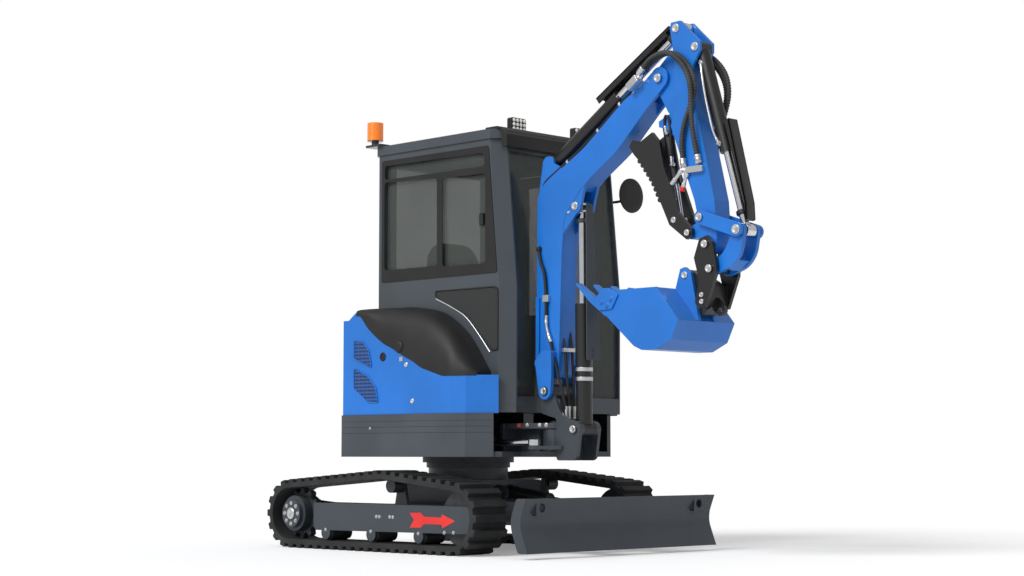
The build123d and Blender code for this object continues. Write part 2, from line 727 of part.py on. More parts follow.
def hood_lugs():
    """Hinge lugs and pins for the hood on the cab's rear wall."""
    z = HOOD_TOP - HOOD_HINGE_R
    inner = KNUCKLE_HALF + SIDE_GAP
    outer = inner + LUG_T
    parts = []
    for y in HOOD_HINGE_Y:
        for side in (-1, 1):
            y0, y1 = sorted((y + side * inner, y + side * outer))
            lug = block(HOOD_HINGE_X, CAB_REAR_X, y0, y1, z - HOOD_HINGE_R, z + HOOD_HINGE_R)
            parts.append(lug + rod_y(HOOD_HINGE_X, z, HOOD_HINGE_R, y0, y1))
        parts.append(rod_y(HOOD_HINGE_X, z, HOOD_PIN_R, y - outer, y + outer))
    return parts


def door_lugs():
    """Hinge lugs and pins for the door on the cab's left wall."""
    x = DOOR_X0 + BODY_GAP
    y = CAB_Y1 + DOOR_HINGE_OUT
    inner = KNUCKLE_HALF + SIDE_GAP
    outer = inner + LUG_T
    parts = []
    for z in DOOR_HINGE_Z:
        for side in (-1, 1):
            z0, z1 = sorted((z + side * inner, z + side * outer))
            lug = block(x - 40, x, CAB_Y1 - 5, y + DOOR_HINGE_R, z0, z1) - block(x - 6, x + 1, 0, CAB_Y1, z0, z1)
            parts.append(lug + rod_z(x, y, DOOR_HINGE_R, z0, z1))
        parts.append(rod_z(x, y, DOOR_PIN_R, z - outer, z + outer))
    return parts


# Cab
def cab_section(inset, z, front):
    """One level of the cab's outline."""
    c = CAB_CORNER
    x0 = CAB_REAR_X + inset
    x1 = front - inset
    y0 = CAB_Y0 + inset
    y1 = CAB_Y1 - inset
    k = c - inset * 0.58
    return [
        (x0, y0 + k * 0.5, z), (x0 + k * 0.5, y0, z), (x1 - k, y0, z), (x1, y0 + k, z),
        (x1, y1 - k, z), (x1 - k, y1, z), (x0 + k * 0.5, y1, z), (x0, y1 - k * 0.5, z),
    ]


def cab_shell(inset, z0, z1):
    """Lofted cab volume, inset from its outer face."""
    levels = [(CAB_FLOOR_Z, CAB_LOW_FRONT_X), (CAB_WAIST_Z, CAB_WAIST_FRONT_X), (CAB_TOP_Z, CAB_TOP_FRONT_X)]
    faces = []
    for z, front in levels:
        zz = min(max(z, z0), z1)
        faces.append(make_face(Polyline(*cab_section(inset, zz, front), close=True)))
    return loft(faces, ruled=True)


def cab_wall():
    """Cab wall as one hollow shell, cut for the windows and the door."""
    shell = cab_shell(0.0, CAB_FLOOR_Z, CAB_TOP_Z) - cab_shell(CAB_WALL, CAB_FLOOR_Z - 1, CAB_TOP_Z + 1)
    side = [(-310, WINDOW_Z0), (700, WINDOW_Z0), (600, WINDOW_Z1), (-310, WINDOW_Z1)]
    shell = shell - slab([(-310, WINDOW_Z0), (615, WINDOW_Z0), (560, WINDOW_Z1), (-310, WINDOW_Z1)], -FAR, 0)
    low = [(171, 1466), (608, 1464), (640, 1380), (640, 1160), (600, 1150), (400, 1350)]
    shell = shell - slab(low, -FAR, 0)
    shell = shell - block(-FAR, 0, CAB_Y0 + 130, CAB_Y1 - 130, 1460, WINDOW_Z1)
    shell = shell - block(400, FAR, CAB_Y0 + 80, CAB_Y1 - 80, CAB_FLOOR_Z + 90, CAB_TOP_Z - 60)
    door = block(DOOR_X0, DOOR_X1, 0, FAR, DOOR_Z0, DOOR_Z1)
    return shell - door


def cab_parts():
    """The cab's fixed walls, split at its corner pillars."""
    whole = cab_wall()
    x_rear = CAB_REAR_X + CAB_WALL
    x_front = 590.0
    z = (CAB_FLOOR_Z + CAB_FLOOR_T, CAB_TOP_Z)
    rear = whole & block(-FAR, x_rear, -FAR, FAR, *z)
    right = whole & block(x_rear, x_front, -FAR, 0, *z)
    left = whole & block(x_rear, x_front, 0, FAR, *z)
    front = whole & block(x_front, FAR, -FAR, FAR, *z)
    rear = union([rear] + hood_lugs())
    left = union([left] + door_lugs())
    return {"cab_rear": rear, "cab_right": right, "cab_left": left, "cab_front": front}


def cab_floor():
    """Cab floor on the deck's posts."""
    low = cab_shell(0.0, CAB_FLOOR_Z, CAB_TOP_Z) & block(-FAR, FAR, -FAR, FAR, 0, CAB_FLOOR_Z + CAB_FLOOR_T)
    z0 = DECK_Z0 + DECK_T
    posts = [
        block(CAB_REAR_X + 30, CAB_REAR_X + 110, -250, -170, z0, CAB_FLOOR_Z),
        block(CAB_REAR_X + 30, CAB_REAR_X + 110, 400, 480, z0, CAB_FLOOR_Z),
        block(440, 520, 400, 480, z0, CAB_FLOOR_Z),
        block(440, 520, -60, 20, z0, CAB_FLOOR_Z),
    ]
    return union([low] + posts)


def cab_roof():
    """Roof cap over the walls."""
    pts = [(x, y) for x, y, z in cab_section(-ROOF_LIP, 0, CAB_TOP_FRONT_X + 12)]
    return plan(pts, CAB_TOP_Z, CAB_TOP_Z + ROOF_T)


def cab_glass():
    """Fixed panes of the cab, one per window, set into the wall's openings."""
    mid = CAB_WALL / 2
    inner = cab_shell(mid - GLASS_T / 2, CAB_FLOOR_Z, CAB_TOP_Z) - cab_shell(
        mid + GLASS_T / 2, CAB_FLOOR_Z - 1, CAB_TOP_Z + 1)
    panes = [
        slab([(-310, WINDOW_Z0), (615, WINDOW_Z0), (560, WINDOW_Z1), (-310, WINDOW_Z1)], -FAR, 0),
        slab([(171, 1466), (608, 1464), (640, 1380), (640, 1160), (600, 1150), (400, 1350)], -FAR, 0),
    ]
    solids = [inner & panes[0] & block(-300, 560, -FAR, 0, 0, FAR)]
    solids.append(inner & panes[1] & block(0, 640, -FAR, 0, 0, FAR))
    solids.append(inner & block(-FAR, 0, CAB_Y0 + 130, CAB_Y1 - 130, 1460, WINDOW_Z1))
    solids.append(inner & block(400, FAR, CAB_Y0 + 80, CAB_Y1 - 80, CAB_FLOOR_Z + 90, CAB_TOP_Z - 60))
    return Compound([s.solids()[0] for s in solids])


def door():
    """Left door frame with a glass opening and its hinge knuckles."""
    g = BODY_GAP
    y1 = CAB_Y1 - 3
    y0 = y1 - DOOR_T
    w = DOOR_FRAME_W
    frame = block(DOOR_X0 + g, DOOR_X1 - g, y0, y1, DOOR_Z0 + g, DOOR_Z1 - g)
    frame = frame - block(DOOR_X0 + w, DOOR_X1 - w, y0 - 1, y1 + 1, DOOR_Z0 + 330, DOOR_Z1 - w)
    frame = frame - block(DOOR_X0 + w, DOOR_X1 - w, y0 - 1, y1 + 1, DOOR_Z0 + w, DOOR_Z0 + 270)
    hx = DOOR_X0 + g
    hy = CAB_Y1 + DOOR_HINGE_OUT
    h = KNUCKLE_HALF
    for z in DOOR_HINGE_Z:
        frame = frame + block(hx, hx + 50, y1 - 5, hy + DOOR_HINGE_R - 2, z - h, z + h)
        frame = frame + rod_z(hx, hy, DOOR_HINGE_R, z - h, z + h)
        frame = frame - rod_z(hx, hy, DOOR_PIN_R + PIN_GAP, z - h - 1, z + h + 1)
    return frame


def door_glass():
    """Two panes of the door."""
    w = DOOR_FRAME_W
    ym = CAB_Y1 - 3 - DOOR_T / 2
    upper = block(DOOR_X0 + w, DOOR_X1 - w, ym - 3, ym + 3, DOOR_Z0 + 330, DOOR_Z1 - w)
    lower = block(DOOR_X0 + w, DOOR_X1 - w, ym - 3, ym + 3, DOOR_Z0 + w, DOOR_Z0 + 270)
    return Compound([upper, lower])


def seat():
    """Seat base, cushion and backrest."""
    z0 = CAB_FLOOR_Z + CAB_FLOOR_T
    yc = (CAB_Y0 + CAB_Y1) / 2
    parts = [
        block(-220, 160, yc - 200, yc + 200, z0, z0 + 340),
        block(-240, 220, yc - 230, yc + 230, z0 + 340, z0 + 440),
        slab([(-240, z0 + 440), (-130, z0 + 440), (-210, z0 + 1010), (-310, z0 + 1010)], yc - 220, yc + 220),
    ]
    return union(parts)


def consoles():
    """Two arm consoles with levers, and the travel pedals' stand."""
    z0 = CAB_FLOOR_Z + CAB_FLOOR_T
    yc = (CAB_Y0 + CAB_Y1) / 2
    solids = []
    for sy in (-1, 1):
        y0, y1 = sorted((yc + sy * 250, yc + sy * 390))
        body = block(-120, 260, y0, y1, z0, z0 + 560)
        body = body + rod_z(210, yc + sy * 320, 16, z0 + 540, z0 + 740)
        solids.append(body + Pos(210, yc + sy * 320, z0 + 740) * Sphere(32))
    stand = block(470, 540, yc - 160, yc + 160, z0, z0 + 60)
    for sy in (-1, 1):
        stand = stand + rod_z(505, yc + sy * 70, 12, z0 + 50, z0 + 520)
    solids.append(stand)
    return Compound(solids)


def visor():
    """Lamp bar on the roof's front with two work lamps."""
    z0 = CAB_TOP_Z + ROOF_T
    parts = [block(470, 530, -345, 545, z0, z0 + 28)]
    for y in (-89.0, 415.0):
        parts.append(block(485, 515, y - 12, y + 12, z0 + 20, z0 + 45))
        parts.append(block(480, 535, y - 48, y + 48, z0 + 40, z0 + 110))
    return union(parts)


def beacon():
    """Rotating lamp on a bracket at the roof's right rear corner."""
    z0 = CAB_TOP_Z + ROOF_T
    x = CAB_REAR_X - 10
    y = CAB_Y0 + 5
    parts = [
        block(x - 40, x + 90, y - 40, y + 40, z0, z0 + 14),
        rod_z(x, y, 22, z0 + 10, z0 + 40),
        rod_z(x, y, 48, z0 + 40, z0 + 150),
    ]
    return union(parts)


def mirror_arm():
    """Mirror on a stalk at the cab's front left corner."""
    y = CAB_Y1
    parts = [
        block(566, 606, y, y + 10, 2020, 2080),
        bar((590, y + 12, 2050), (704, y + 50, 2050), 9),
        bar((704, y + 50, 2040), (704, y + 50, 2120), 11),
        block(694, 722, y - 10, y + 110, 2110, 2280),
    ]
    return union(parts)


# Swing bracket
def swing_bracket():
    """Casting between the deck's nose and the boom, with concave cheeks, turning on the swing pin."""
    y = BOOM_Y
    z0 = EAR_LOW_Z + EAR_T + BODY_GAP
    z1 = EAR_HIGH_Z - BODY_GAP
    bx, bz = BOOM_FOOT
    cx, cz = BOOM_CYL_FOOT
    rear_x = SWING_X + CHEEK_SETBACK
    over_z = EAR_HIGH_Z + EAR_T + 4 * BODY_GAP
    cheek = [
        (rear_x, BRACKET_Z0, 20), (cx + 20, BRACKET_Z0, 40), (cx + BRACKET_BOSS_R, cz), (cx, cz + BRACKET_BOSS_R),
        (cx - 95, cz + 70, 110), (bx + BOOM_FOOT_R, bz - 30), (bx + BOOM_FOOT_R - 8, bz), (bx - BOOM_FOOT_R + 8, bz),
        (bx - BOOM_FOOT_R, over_z + 30, 20), (rear_x, over_z, 20),
    ]
    parts = [rod_z(SWING_X, y, SWING_HUB_R, z0, z1)]
    parts.append(block(SWING_X, SWING_X + 130, y - CHEEK_IN, y + CHEEK_IN, z0, z1) - rod_z(SWING_X, y, 60, z0, z1))
    parts.append(block(SWING_X + 95, SWING_X + 130, y - CHEEK_IN, y + CHEEK_IN, BRACKET_Z0, over_z))
    for sy in (-1, 1):
        y0, y1 = sorted((y + sy * CHEEK_IN, y + sy * CHEEK_OUT))
        parts.append(slab(cheek, y0, y1))
        parts.append(rod_y(bx, bz, BOOM_FOOT_R - 8, y0, y1))
        b0, b1 = sorted((y + sy * CYL_CLEVIS_IN, y + sy * CHEEK_OUT))
        parts.append(rod_y(cx, cz, BRACKET_BOSS_R, b0, b1))
    parts.append(rod_y(bx, bz, BOOM_FOOT_R - 12, y - CHEEK_IN, y + CHEEK_IN))
    parts.append(rod_y(bx, bz, BOOM_PIN_R, y - LEG_OUT - 8, y + LEG_OUT + 8))
    parts.append(rod_y(cx, cz, 22, y - CHEEK_OUT - 8, y + CHEEK_OUT + 8))
    top = SWING_CYL_Z - SWING_EYE_HALF - SIDE_GAP
    lug = flat_pill((SWING_X + 95, y - CHEEK_OUT), SWING_CYL_EYE, SWING_EYE_R, SWING_EYE_R, top - SWING_LUG_T, top)
    whole = union(parts + [lug])
    return whole - rod_z(SWING_X, y, SWING_PIN_R + PIN_GAP, z0 - 5, z1 + 5)


def swing_barrel():
    """Swing cylinder's tube above the deck."""
    fx, fy = SWING_CYL_FOOT
    ex, ey = SWING_CYL_EYE
    z = SWING_CYL_Z
    a = along((fx, fy), (ex, ey), 20)
    b = along((fx, fy), (ex, ey), 430)
    half = SWING_FOOT_HALF
    body = bar((a[0], a[1], z), (b[0], b[1], z), SWING_BARREL_R) + rod_z(fx, fy, 40, z - half, z + half)
    body = body - rod_z(fx, fy, 20 + PIN_GAP, z - 2 * half, z + 2 * half)
    c = along((fx, fy), (ex, ey), 60)
    d = along((fx, fy), (ex, ey), 460)
    return body - bar((c[0], c[1], z), (d[0], d[1], z), SWING_ROD_R + PIN_GAP)


def swing_rod():
    """Swing cylinder's rod with its flat open eye above the bracket's lug."""
    foot = SWING_CYL_FOOT
    eye = SWING_CYL_EYE
    z = SWING_CYL_Z
    half = SWING_EYE_HALF
    full = math.dist(foot, eye)
    a = along(foot, eye, 230)
    b = along(foot, eye, full - 30)
    body = bar((a[0], a[1], z), (b[0], b[1], z), SWING_ROD_R) + rod_z(eye[0], eye[1], SWING_EYE_R, z - half, z + half)
    return body - rod_z(eye[0], eye[1], SWING_EYE_R / 2, z - 2 * half, z + 2 * half)


# Boom
def boom():
    """Boom: bent box section with two foot legs, fork tip, cylinder ears and a pocket for the rod's eye."""
    y = BOOM_Y
    w = BOOM_HALF_W
    fx, fz = BOOM_FOOT
    tx, tz = BOOM_TIP
    ex, ez = BOOM_CYL_EYE
    ax, az = ARM_CYL_FOOT
    body = slab(BOOM_OUTLINE, y - w, y + w) - rod_y(ex, ez, ROD_EYE_ROOM, y - BOOM_EAR_IN, y + BOOM_EAR_IN)
    leg = BOOM_LEG + [(fx + BOOM_LEG_R, fz), (fx - BOOM_LEG_R, fz)]
    shoulder = BOOM_LEG[:3] + [(930, 1040), (804, 1040)]
    fork = [(1440, 2457), (1500, 2478), (tx - 22, tz + 56), (tx + 40, tz - 44), (1577, 2370), (1450, 2260)]
    rod_ear = [(972, 1760), (ex + 10, ez - BOOM_EAR_R), (ex + BOOM_EAR_R, ez), (1150, 2050), (1000, 2000)]
    tube_ear = [(795, 2020), (ax - BOOM_EAR_R, az), (ax + BOOM_EAR_R, az), (990, 2125)]
    parts = [body]
    for sy in (-1, 1):
        y0, y1 = sorted((y + sy * (w - FORK_T), y + sy * w))
        parts += [slab(fork, y0, y1), rod_y(tx, tz, BOOM_TIP_R, y0, y1)]
        e0, e1 = sorted((y + sy * BOOM_EAR_IN, y + sy * BOOM_EAR_OUT))
        parts += [slab(rod_ear, e0, e1), rod_y(ex, ez, BOOM_EAR_R, e0, e1)]
        parts += [slab(tube_ear, e0, e1), rod_y(ax, az, BOOM_EAR_R, e0, e1)]
        l0, l1 = sorted((y + sy * LEG_IN, y + sy * LEG_OUT))
        s0, s1 = sorted((y + sy * (w - SIDE_GAP), y + sy * LEG_OUT))
        parts += [slab(leg, l0, l1), rod_y(fx, fz, BOOM_LEG_R, l0, l1), slab(shoulder, s0, s1)]
    parts.append(rod_y(tx, tz, BOOM_PIN_R, y - w - 12, y + w + 12))
    parts.append(rod_y(ax, az, 22, y - BOOM_EAR_OUT, y + BOOM_EAR_OUT))
    return union(parts) - rod_y(fx, fz, BOOM_PIN_R + PIN_GAP, y - LEG_OUT - 1, y + LEG_OUT + 1)


def arm():
    """Arm: tapered box, narrow between the boom's fork, with cylinder ears and pin bosses."""
    y = BOOM_Y
    tx, tz = BOOM_TIP
    ax, az = ARM_END
    n = ARM_ROOT_HALF_W
    w = ARM_HALF_W
    root = [(tx - 30, tz + 50), (tx + 50, tz + 120), (1900, 2600), (1910, 2449), (1800, 2300), (1734, 2354),
            (tx - 40, tz - 40)]
    tube = [(1790, 2640), (1880, 2735), (1900, 2610), (1914, 2449), (2056, 1856), (ax + 44, az), (ax - 44, az),
            (1922, 1868), (1765, 2275), (1800, 2400)]
    body = slab(root, y - n, y + n) + rod_y(tx, tz, 58, y - n, y + n) + slab(tube, y - w, y + w)
    body = body + rod_y(ax, az, 46, y - 68, y + 68)
    for sy in (-1, 1):
        e0, e1 = sorted((y + sy * 42, y + sy * w))
        ex, ez = ARM_CYL_EYE
        fx, fz = BUCKET_CYL_FOOT
        top = [(1790, 2640), (ex - 40, ez), (ex - 34, ez + 34), (ex + 30, ez + 36), (fx + 34, fz + 26),
               (fx + 34, fz - 20), (1905, 2560)]
        body = body + slab(top, e0, e1)
        l0, l1 = sorted((y + sy * 31, y + sy * 42))
        kx, kz = THUMB_CYL_FOOT
        lug = [(1800, 2360), (1740, 2345), (kx - 24, kz + 14), (kx - 22, kz - 18), (kx + 20, kz - 26), (1800, 2200)]
        body = body + slab(lug, l0, l1)
    body = body + rod_y(*BUCKET_CYL_FOOT, 18, y - w, y + w)
    body = body + rod_y(*THUMB_CYL_FOOT, 12, y - 42, y + 42)
    hx, hz = THUMB_PIVOT
    body = body + pill((hx, hz), (hx + 90, hz + 20), 32, 50, y - 40, y + 40)
    body = body + rod_y(*LINK_PIN, 34, y - 72, y + 72)
    body = body - rod_y(tx, tz, BOOM_PIN_R + PIN_GAP, y - n - 40, y + n + 40)
    body = body - rod_y(ax, az, 22 + PIN_GAP, y - 80, y + 80)
    body = body - rod_y(*LINK_PIN, 18 + PIN_GAP, y - 80, y + 80)
    return body - rod_y(hx, hz, 16 + PIN_GAP, y - 60, y + 60)


def side_links():
    """Pair of curved links on the arm with their through pin."""
    y = BOOM_Y
    parts = []
    for sy in (-1, 1):
        y0, y1 = sorted((y + sy * LINK_IN, y + sy * LINK_OUT))
        parts.append(pill(LINK_PIN, LINK_EYE, LINK_R, LINK_R, y0, y1))
    parts.append(rod_y(*LINK_PIN, 18, y - LINK_OUT - 6, y + LINK_OUT + 6))
    return union(parts)


def h_link():
    """Curved link between the side links' open pin and the hitch, bowed clear of the arm's end."""
    y = BOOM_Y
    dx, dz = HITCH_PIN
    cx, cz = LINK_EYE
    bow = [
        (dx - 16, dz + 28), (2125, 1580, 140), (cx - 33, cz + 12), (cx + 34, cz - 12), (2226, 1520, 150),
        (dx + 16, dz - 28),
    ]
    parts = []
    for sy in (-1, 1):
        y0, y1 = sorted((y + sy * H_IN, y + sy * H_OUT))
        parts += [slab(bow, y0, y1), rod_y(dx, dz, 32, y0, y1), rod_y(cx, cz, 35, y0, y1)]
    web = [(2100, 1515), (2170, 1560), (2200, 1535), (2140, 1488)]
    parts.append(slab(web, y - H_IN, y + H_IN))
    return union(parts) - rod_y(dx, dz, 18 + PIN_GAP, y - 80, y + 80)


def quick_hitch():
    """Coupler plates on the arm's end pin with the block that grips the bucket's ears."""
    y = BOOM_Y
    ax, az = ARM_END
    dx, dz = HITCH_PIN
    plate = [
        (ax - 40, az + 30), (ax + 10, az + 44), (ax + 44, az + 10), (dx + 42, dz + 20), (dx + 40, dz - 30),
        (2025, 1300), (1975, 1296), (1955, 1330), (1985, 1440), (1950, 1560),
    ]
    parts = []
    for sy in (-1, 1):
        y0, y1 = sorted((y + sy * HITCH_IN, y + sy * HITCH_OUT))
        parts.append(slab(plate, y0, y1))
        s0, s1 = sorted((y + sy * HITCH_BLOCK, y + sy * HITCH_IN))
        parts.append(slab([(1990, 1420), (2022, 1420), (2022, 1310), (1990, 1310)], s0, s1))
    inner = [(1836, 1500), (1890, 1505), (2000, 1440), (2022, 1420), (2022, 1306), (1975, 1270), (1950, 1262),
             (1836, 1400)]
    parts.append(slab(inner, y - HITCH_BLOCK, y + HITCH_BLOCK))
    parts.append(rod_y(ax, az, 22, y - HITCH_OUT - 8, y + HITCH_OUT + 8))
    parts.append(rod_y(dx, dz, 18, y - HITCH_OUT - 8, y + HITCH_OUT + 8))
    half = EYE_LUG_T / 2
    parts.append(pill((2005.0, 1330.0), EYE_LUG, EYE_LUG_R, EYE_LUG_R, y - half, y + half))
    return union(parts) - rod_y(*EYE_LUG, EYE_HOLE_R, y - half - 1, y + half + 1)


def bucket():
    """Digging bucket: wrapped shell, side plates, ears, cutting edge and teeth."""
    y = BOOM_Y
    w = BUCKET_HALF_W
    shell = [(1420, 1306), (1646, 1111), (1701, 1088), (1799, 1088), (1900, 1134), (1950, 1235),
             (1805, 1410)]
    centre = (1740.0, 1290.0)
    inner = []
    for x, z in shell[1:-1]:
        d = math.dist((x, z), centre)
        k = (d - BUCKET_WALL) / d
        inner.append((centre[0] + (x - centre[0]) * k, centre[1] + (z - centre[1]) * k))
    inner = [(1428, 1330)] + inner + [(1794, 1400), (1780, 1600), (1400, 1600)]
    outside = slab(shell, y - w, y + w)
    whole = outside - slab(inner, y - w + BUCKET_SIDE_T, y + w - BUCKET_SIDE_T)
    ear = [(1798, 1400), (1834, 1512), (1864, 1520), (1905, 1490), (1935, 1352), (1955, 1236), (1900, 1270)]
    side = [(1420, 1306), (1546, 1412), (1805, 1412), (1805, 1300), (1600, 1200)]
    for sy in (-1, 1):
        y0, y1 = sorted((y + sy * EAR_IN, y + sy * EAR_OUT))
        whole = whole + slab(ear, y0, y1)
        y0, y1 = sorted((y + sy * (w - BUCKET_SIDE_T), y + sy * w))
        whole = whole + slab(side, y0, y1)
    edge = [(1400, 1318), (1440, 1278), (1462, 1292), (1420, 1332)]
    whole = whole + slab(edge, y - w, y + w)
    span = 2 * w - TOOTH_W
    for i in range(TOOTH_COUNT):
        yt = y - span / 2 + span * i / (TOOTH_COUNT - 1)
        tooth = [(1445, 1296), (1412, 1300), (1330, 1362), (1232, 1458), (1238, 1466), (1345, 1392), (1428, 1326)]
        whole = whole + slab(tooth, yt - TOOTH_W / 2, yt + TOOTH_W / 2)
    return whole


def thumb():
    """Thumb: two serrated plates, tip plate and pivot pin."""
    y = BOOM_Y
    hx, hz = THUMB_PIVOT
    ex, ez = THUMB_CYL_EYE
    outline = [
        (hx + 28, hz - 14), (hx - 10, hz - 34), (ex - 30, ez - 24), (1640, 1990), (1560, 2100), (1510, 2150),
        (1478, 2194), (1500, 2230), (1560, 2216), (1640, 2256), (1690, 2200), (1720, 2060), (ex + 30, ez + 40),
        (hx + 26, hz + 20),
    ]
    parts = []
    for sy in (-1, 1):
        y0, y1 = sorted((y + sy * THUMB_IN, y + sy * THUMB_OUT))
        parts.append(slab(outline, y0, y1))
    tip = [(1510, 2150), (1478, 2194), (1500, 2230), (1545, 2218)]
    parts.append(slab(tip, y - THUMB_OUT, y + THUMB_OUT))
    parts.append(rod_y(hx, hz, 16, y - THUMB_OUT - 6, y + THUMB_OUT + 6))
    return union(parts)


def cylinders():
    """Tubes and rods of the blade, boom, arm, bucket and thumb cylinders."""
    y = BOOM_Y
    return {
        "blade_barrel": barrel(BLADE_CYL_FOOT, BLADE_CYL_EYE, 0.0, 38, 330, 34, 39, 16, 20, 60),
        "blade_rod": rod(BLADE_CYL_FOOT, BLADE_CYL_EYE, 0.0, 20, 150, 30, 28),
        "boom_barrel": barrel(BOOM_CYL_FOOT, BOOM_CYL_EYE, y, 45, 690, 44, 46, 22, 25, 80),
        "boom_rod": rod(BOOM_CYL_FOOT, BOOM_CYL_EYE, y, 25, 600, 38, 36),
        "arm_barrel": barrel(ARM_CYL_FOOT, ARM_CYL_EYE, y, 40, 590, 40, 41, 22, 25, 70),
        "arm_rod": rod(ARM_CYL_FOOT, ARM_CYL_EYE, y, 25, 520, 38, 36),
        "bucket_barrel": barrel(BUCKET_CYL_FOOT, LINK_EYE, y, 38, 590, 36, 40, 18, 22, 70),
        "bucket_rod": rod(BUCKET_CYL_FOOT, LINK_EYE, y, 22, 450, 36, 34),
        "thumb_barrel": barrel(THUMB_CYL_FOOT, THUMB_CYL_EYE, y, 28, 330, 24, 29, 12, 14, 50),
        "thumb_rod": rod(THUMB_CYL_FOOT, THUMB_CYL_EYE, y, 14, 150, 24, 20),
    }


# Reach of the whole machine, for the exported origin
REAR_REACH = REAR_WHEEL_X - END_R
FRONT_REACH = LINK_EYE[0] + LINK_R
ORIGIN_X = (REAR_REACH + FRONT_REACH) / 2


def build():
    """Every node by name, in the slew frame."""
    nodes = {}
    for name, make in (("track", track), ("track_frame", track_frame), ("track_wheels", track_wheels),
                       ("final_drive", final_drive)):
        shape = make()
        nodes[name + "_right"] = shape
        nodes[name + "_left"] = mirrored(shape)
    for make in (centre_frame, slew_ring, blade, blade_arms, swing_deck, skirt, counterweight, side_cover, tank_cover,
                 left_cover, engine, hood, cab_floor, cab_roof, cab_glass, door, door_glass, seat, consoles,
                 visor, beacon, mirror_arm, swing_bracket, swing_barrel, swing_rod, boom, arm, side_links,
                 h_link, quick_hitch, bucket, thumb):
        nodes[make.__name__] = make()
    nodes.update(cab_parts())
    nodes.update(cylinders())
    return nodes


def main():
    """Build and export every node."""
    os.makedirs("parts", exist_ok=True)
    for name, shape in build().items():
        moved = Pos(-ORIGIN_X, 0, 0) * shape
        moved.label = name
        export_step(moved, f"parts/{name}.step")


if __name__ == "__main__":
    main()
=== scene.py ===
"""Mini excavator: finishes, trim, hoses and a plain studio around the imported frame."""
import json
import logging
import math
from dataclasses import dataclass, field
from enum import Enum

import bmesh
import bpy
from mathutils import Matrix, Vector


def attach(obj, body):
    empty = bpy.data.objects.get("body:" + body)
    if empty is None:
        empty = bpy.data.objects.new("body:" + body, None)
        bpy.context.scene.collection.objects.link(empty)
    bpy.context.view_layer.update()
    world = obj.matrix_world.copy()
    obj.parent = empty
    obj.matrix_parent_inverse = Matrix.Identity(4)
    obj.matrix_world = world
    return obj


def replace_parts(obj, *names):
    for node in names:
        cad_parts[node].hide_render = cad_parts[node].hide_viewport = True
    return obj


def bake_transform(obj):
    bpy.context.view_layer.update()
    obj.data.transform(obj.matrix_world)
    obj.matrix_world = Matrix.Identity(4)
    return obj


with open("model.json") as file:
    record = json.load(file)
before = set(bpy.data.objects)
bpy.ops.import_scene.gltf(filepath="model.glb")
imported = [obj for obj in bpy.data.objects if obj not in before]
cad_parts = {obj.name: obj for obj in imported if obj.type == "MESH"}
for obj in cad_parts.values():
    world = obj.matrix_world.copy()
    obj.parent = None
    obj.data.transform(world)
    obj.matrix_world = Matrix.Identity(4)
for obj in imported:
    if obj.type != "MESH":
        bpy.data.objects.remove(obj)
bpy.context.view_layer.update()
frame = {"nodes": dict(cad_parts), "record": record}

LOG = logging.getLogger("excavator")
ORIGIN_X = 651
MM = 0.001
BOOM_Y = -150
SHARP_DEGREES = 38
SAME_POINT = 1e-6
FAR_RIGHT = -1000
WHITE = (1.0, 1.0, 1.0, 1.0)

Point = tuple[float, float, float]
Corner = tuple[float, float, float]
Colour = tuple[float, float, float]
Flat = tuple[float, float]
Profile = tuple[Flat, ...]
Outline = tuple[Corner, ...]
Numbers = tuple[float, ...]

RIGHT = Vector((0, -1, 0))
LEFT = Vector((0, 1, 0))
FRONT = Vector((1, 0, 0))
UP = Vector((0, 0, 1))


def spot(x: float, y: float, z: float) -> Vector:
    """Point in the frame, in metres, from millimetres measured from the slewing axis."""
    return Vector(((x - ORIGIN_X) * MM, y * MM, z * MM))


@dataclass
class Wire:
    """A shader socket that takes part in Python expressions."""

    shader: "Shader"
    socket: bpy.types.NodeSocket

    def _math(self, operation: str, first: "Wire | float", second: "Wire | float") -> "Wire":
        """One Math node on two values."""
        return self.shader.make("ShaderNodeMath", {"operation": operation}, {0: first, 1: second})

    def __add__(self, other: "Wire | float") -> "Wire":
        """Sum."""
        return self._math("ADD", self, other)

    __radd__ = __add__

    def __sub__(self, other: "Wire | float") -> "Wire":
        """Difference."""
        return self._math("SUBTRACT", self, other)

    def __rsub__(self, other: "Wire | float") -> "Wire":
        """Difference from a number."""
        return self._math("SUBTRACT", other, self)

    def __mul__(self, other: "Wire | float") -> "Wire":
        """Product."""
        return self._math("MULTIPLY", self, other)

    __rmul__ = __mul__

    def wave(self) -> "Wire":
        """Sine of the value."""
        return self._math("SINE", self, 0.0)

    def rise(self, low: float, high: float) -> "Wire":
        """Smooth step from 0 at low to 1 at high.

        Args:
            low: Value that gives 0.
            high: Value that gives 1.

        Returns:
            The stepped value.
        """
        return self.shader.make(
            "ShaderNodeMapRange", {"interpolation_type": "SMOOTHSTEP"},
            {"Value": self, "From Min": low, "From Max": high})


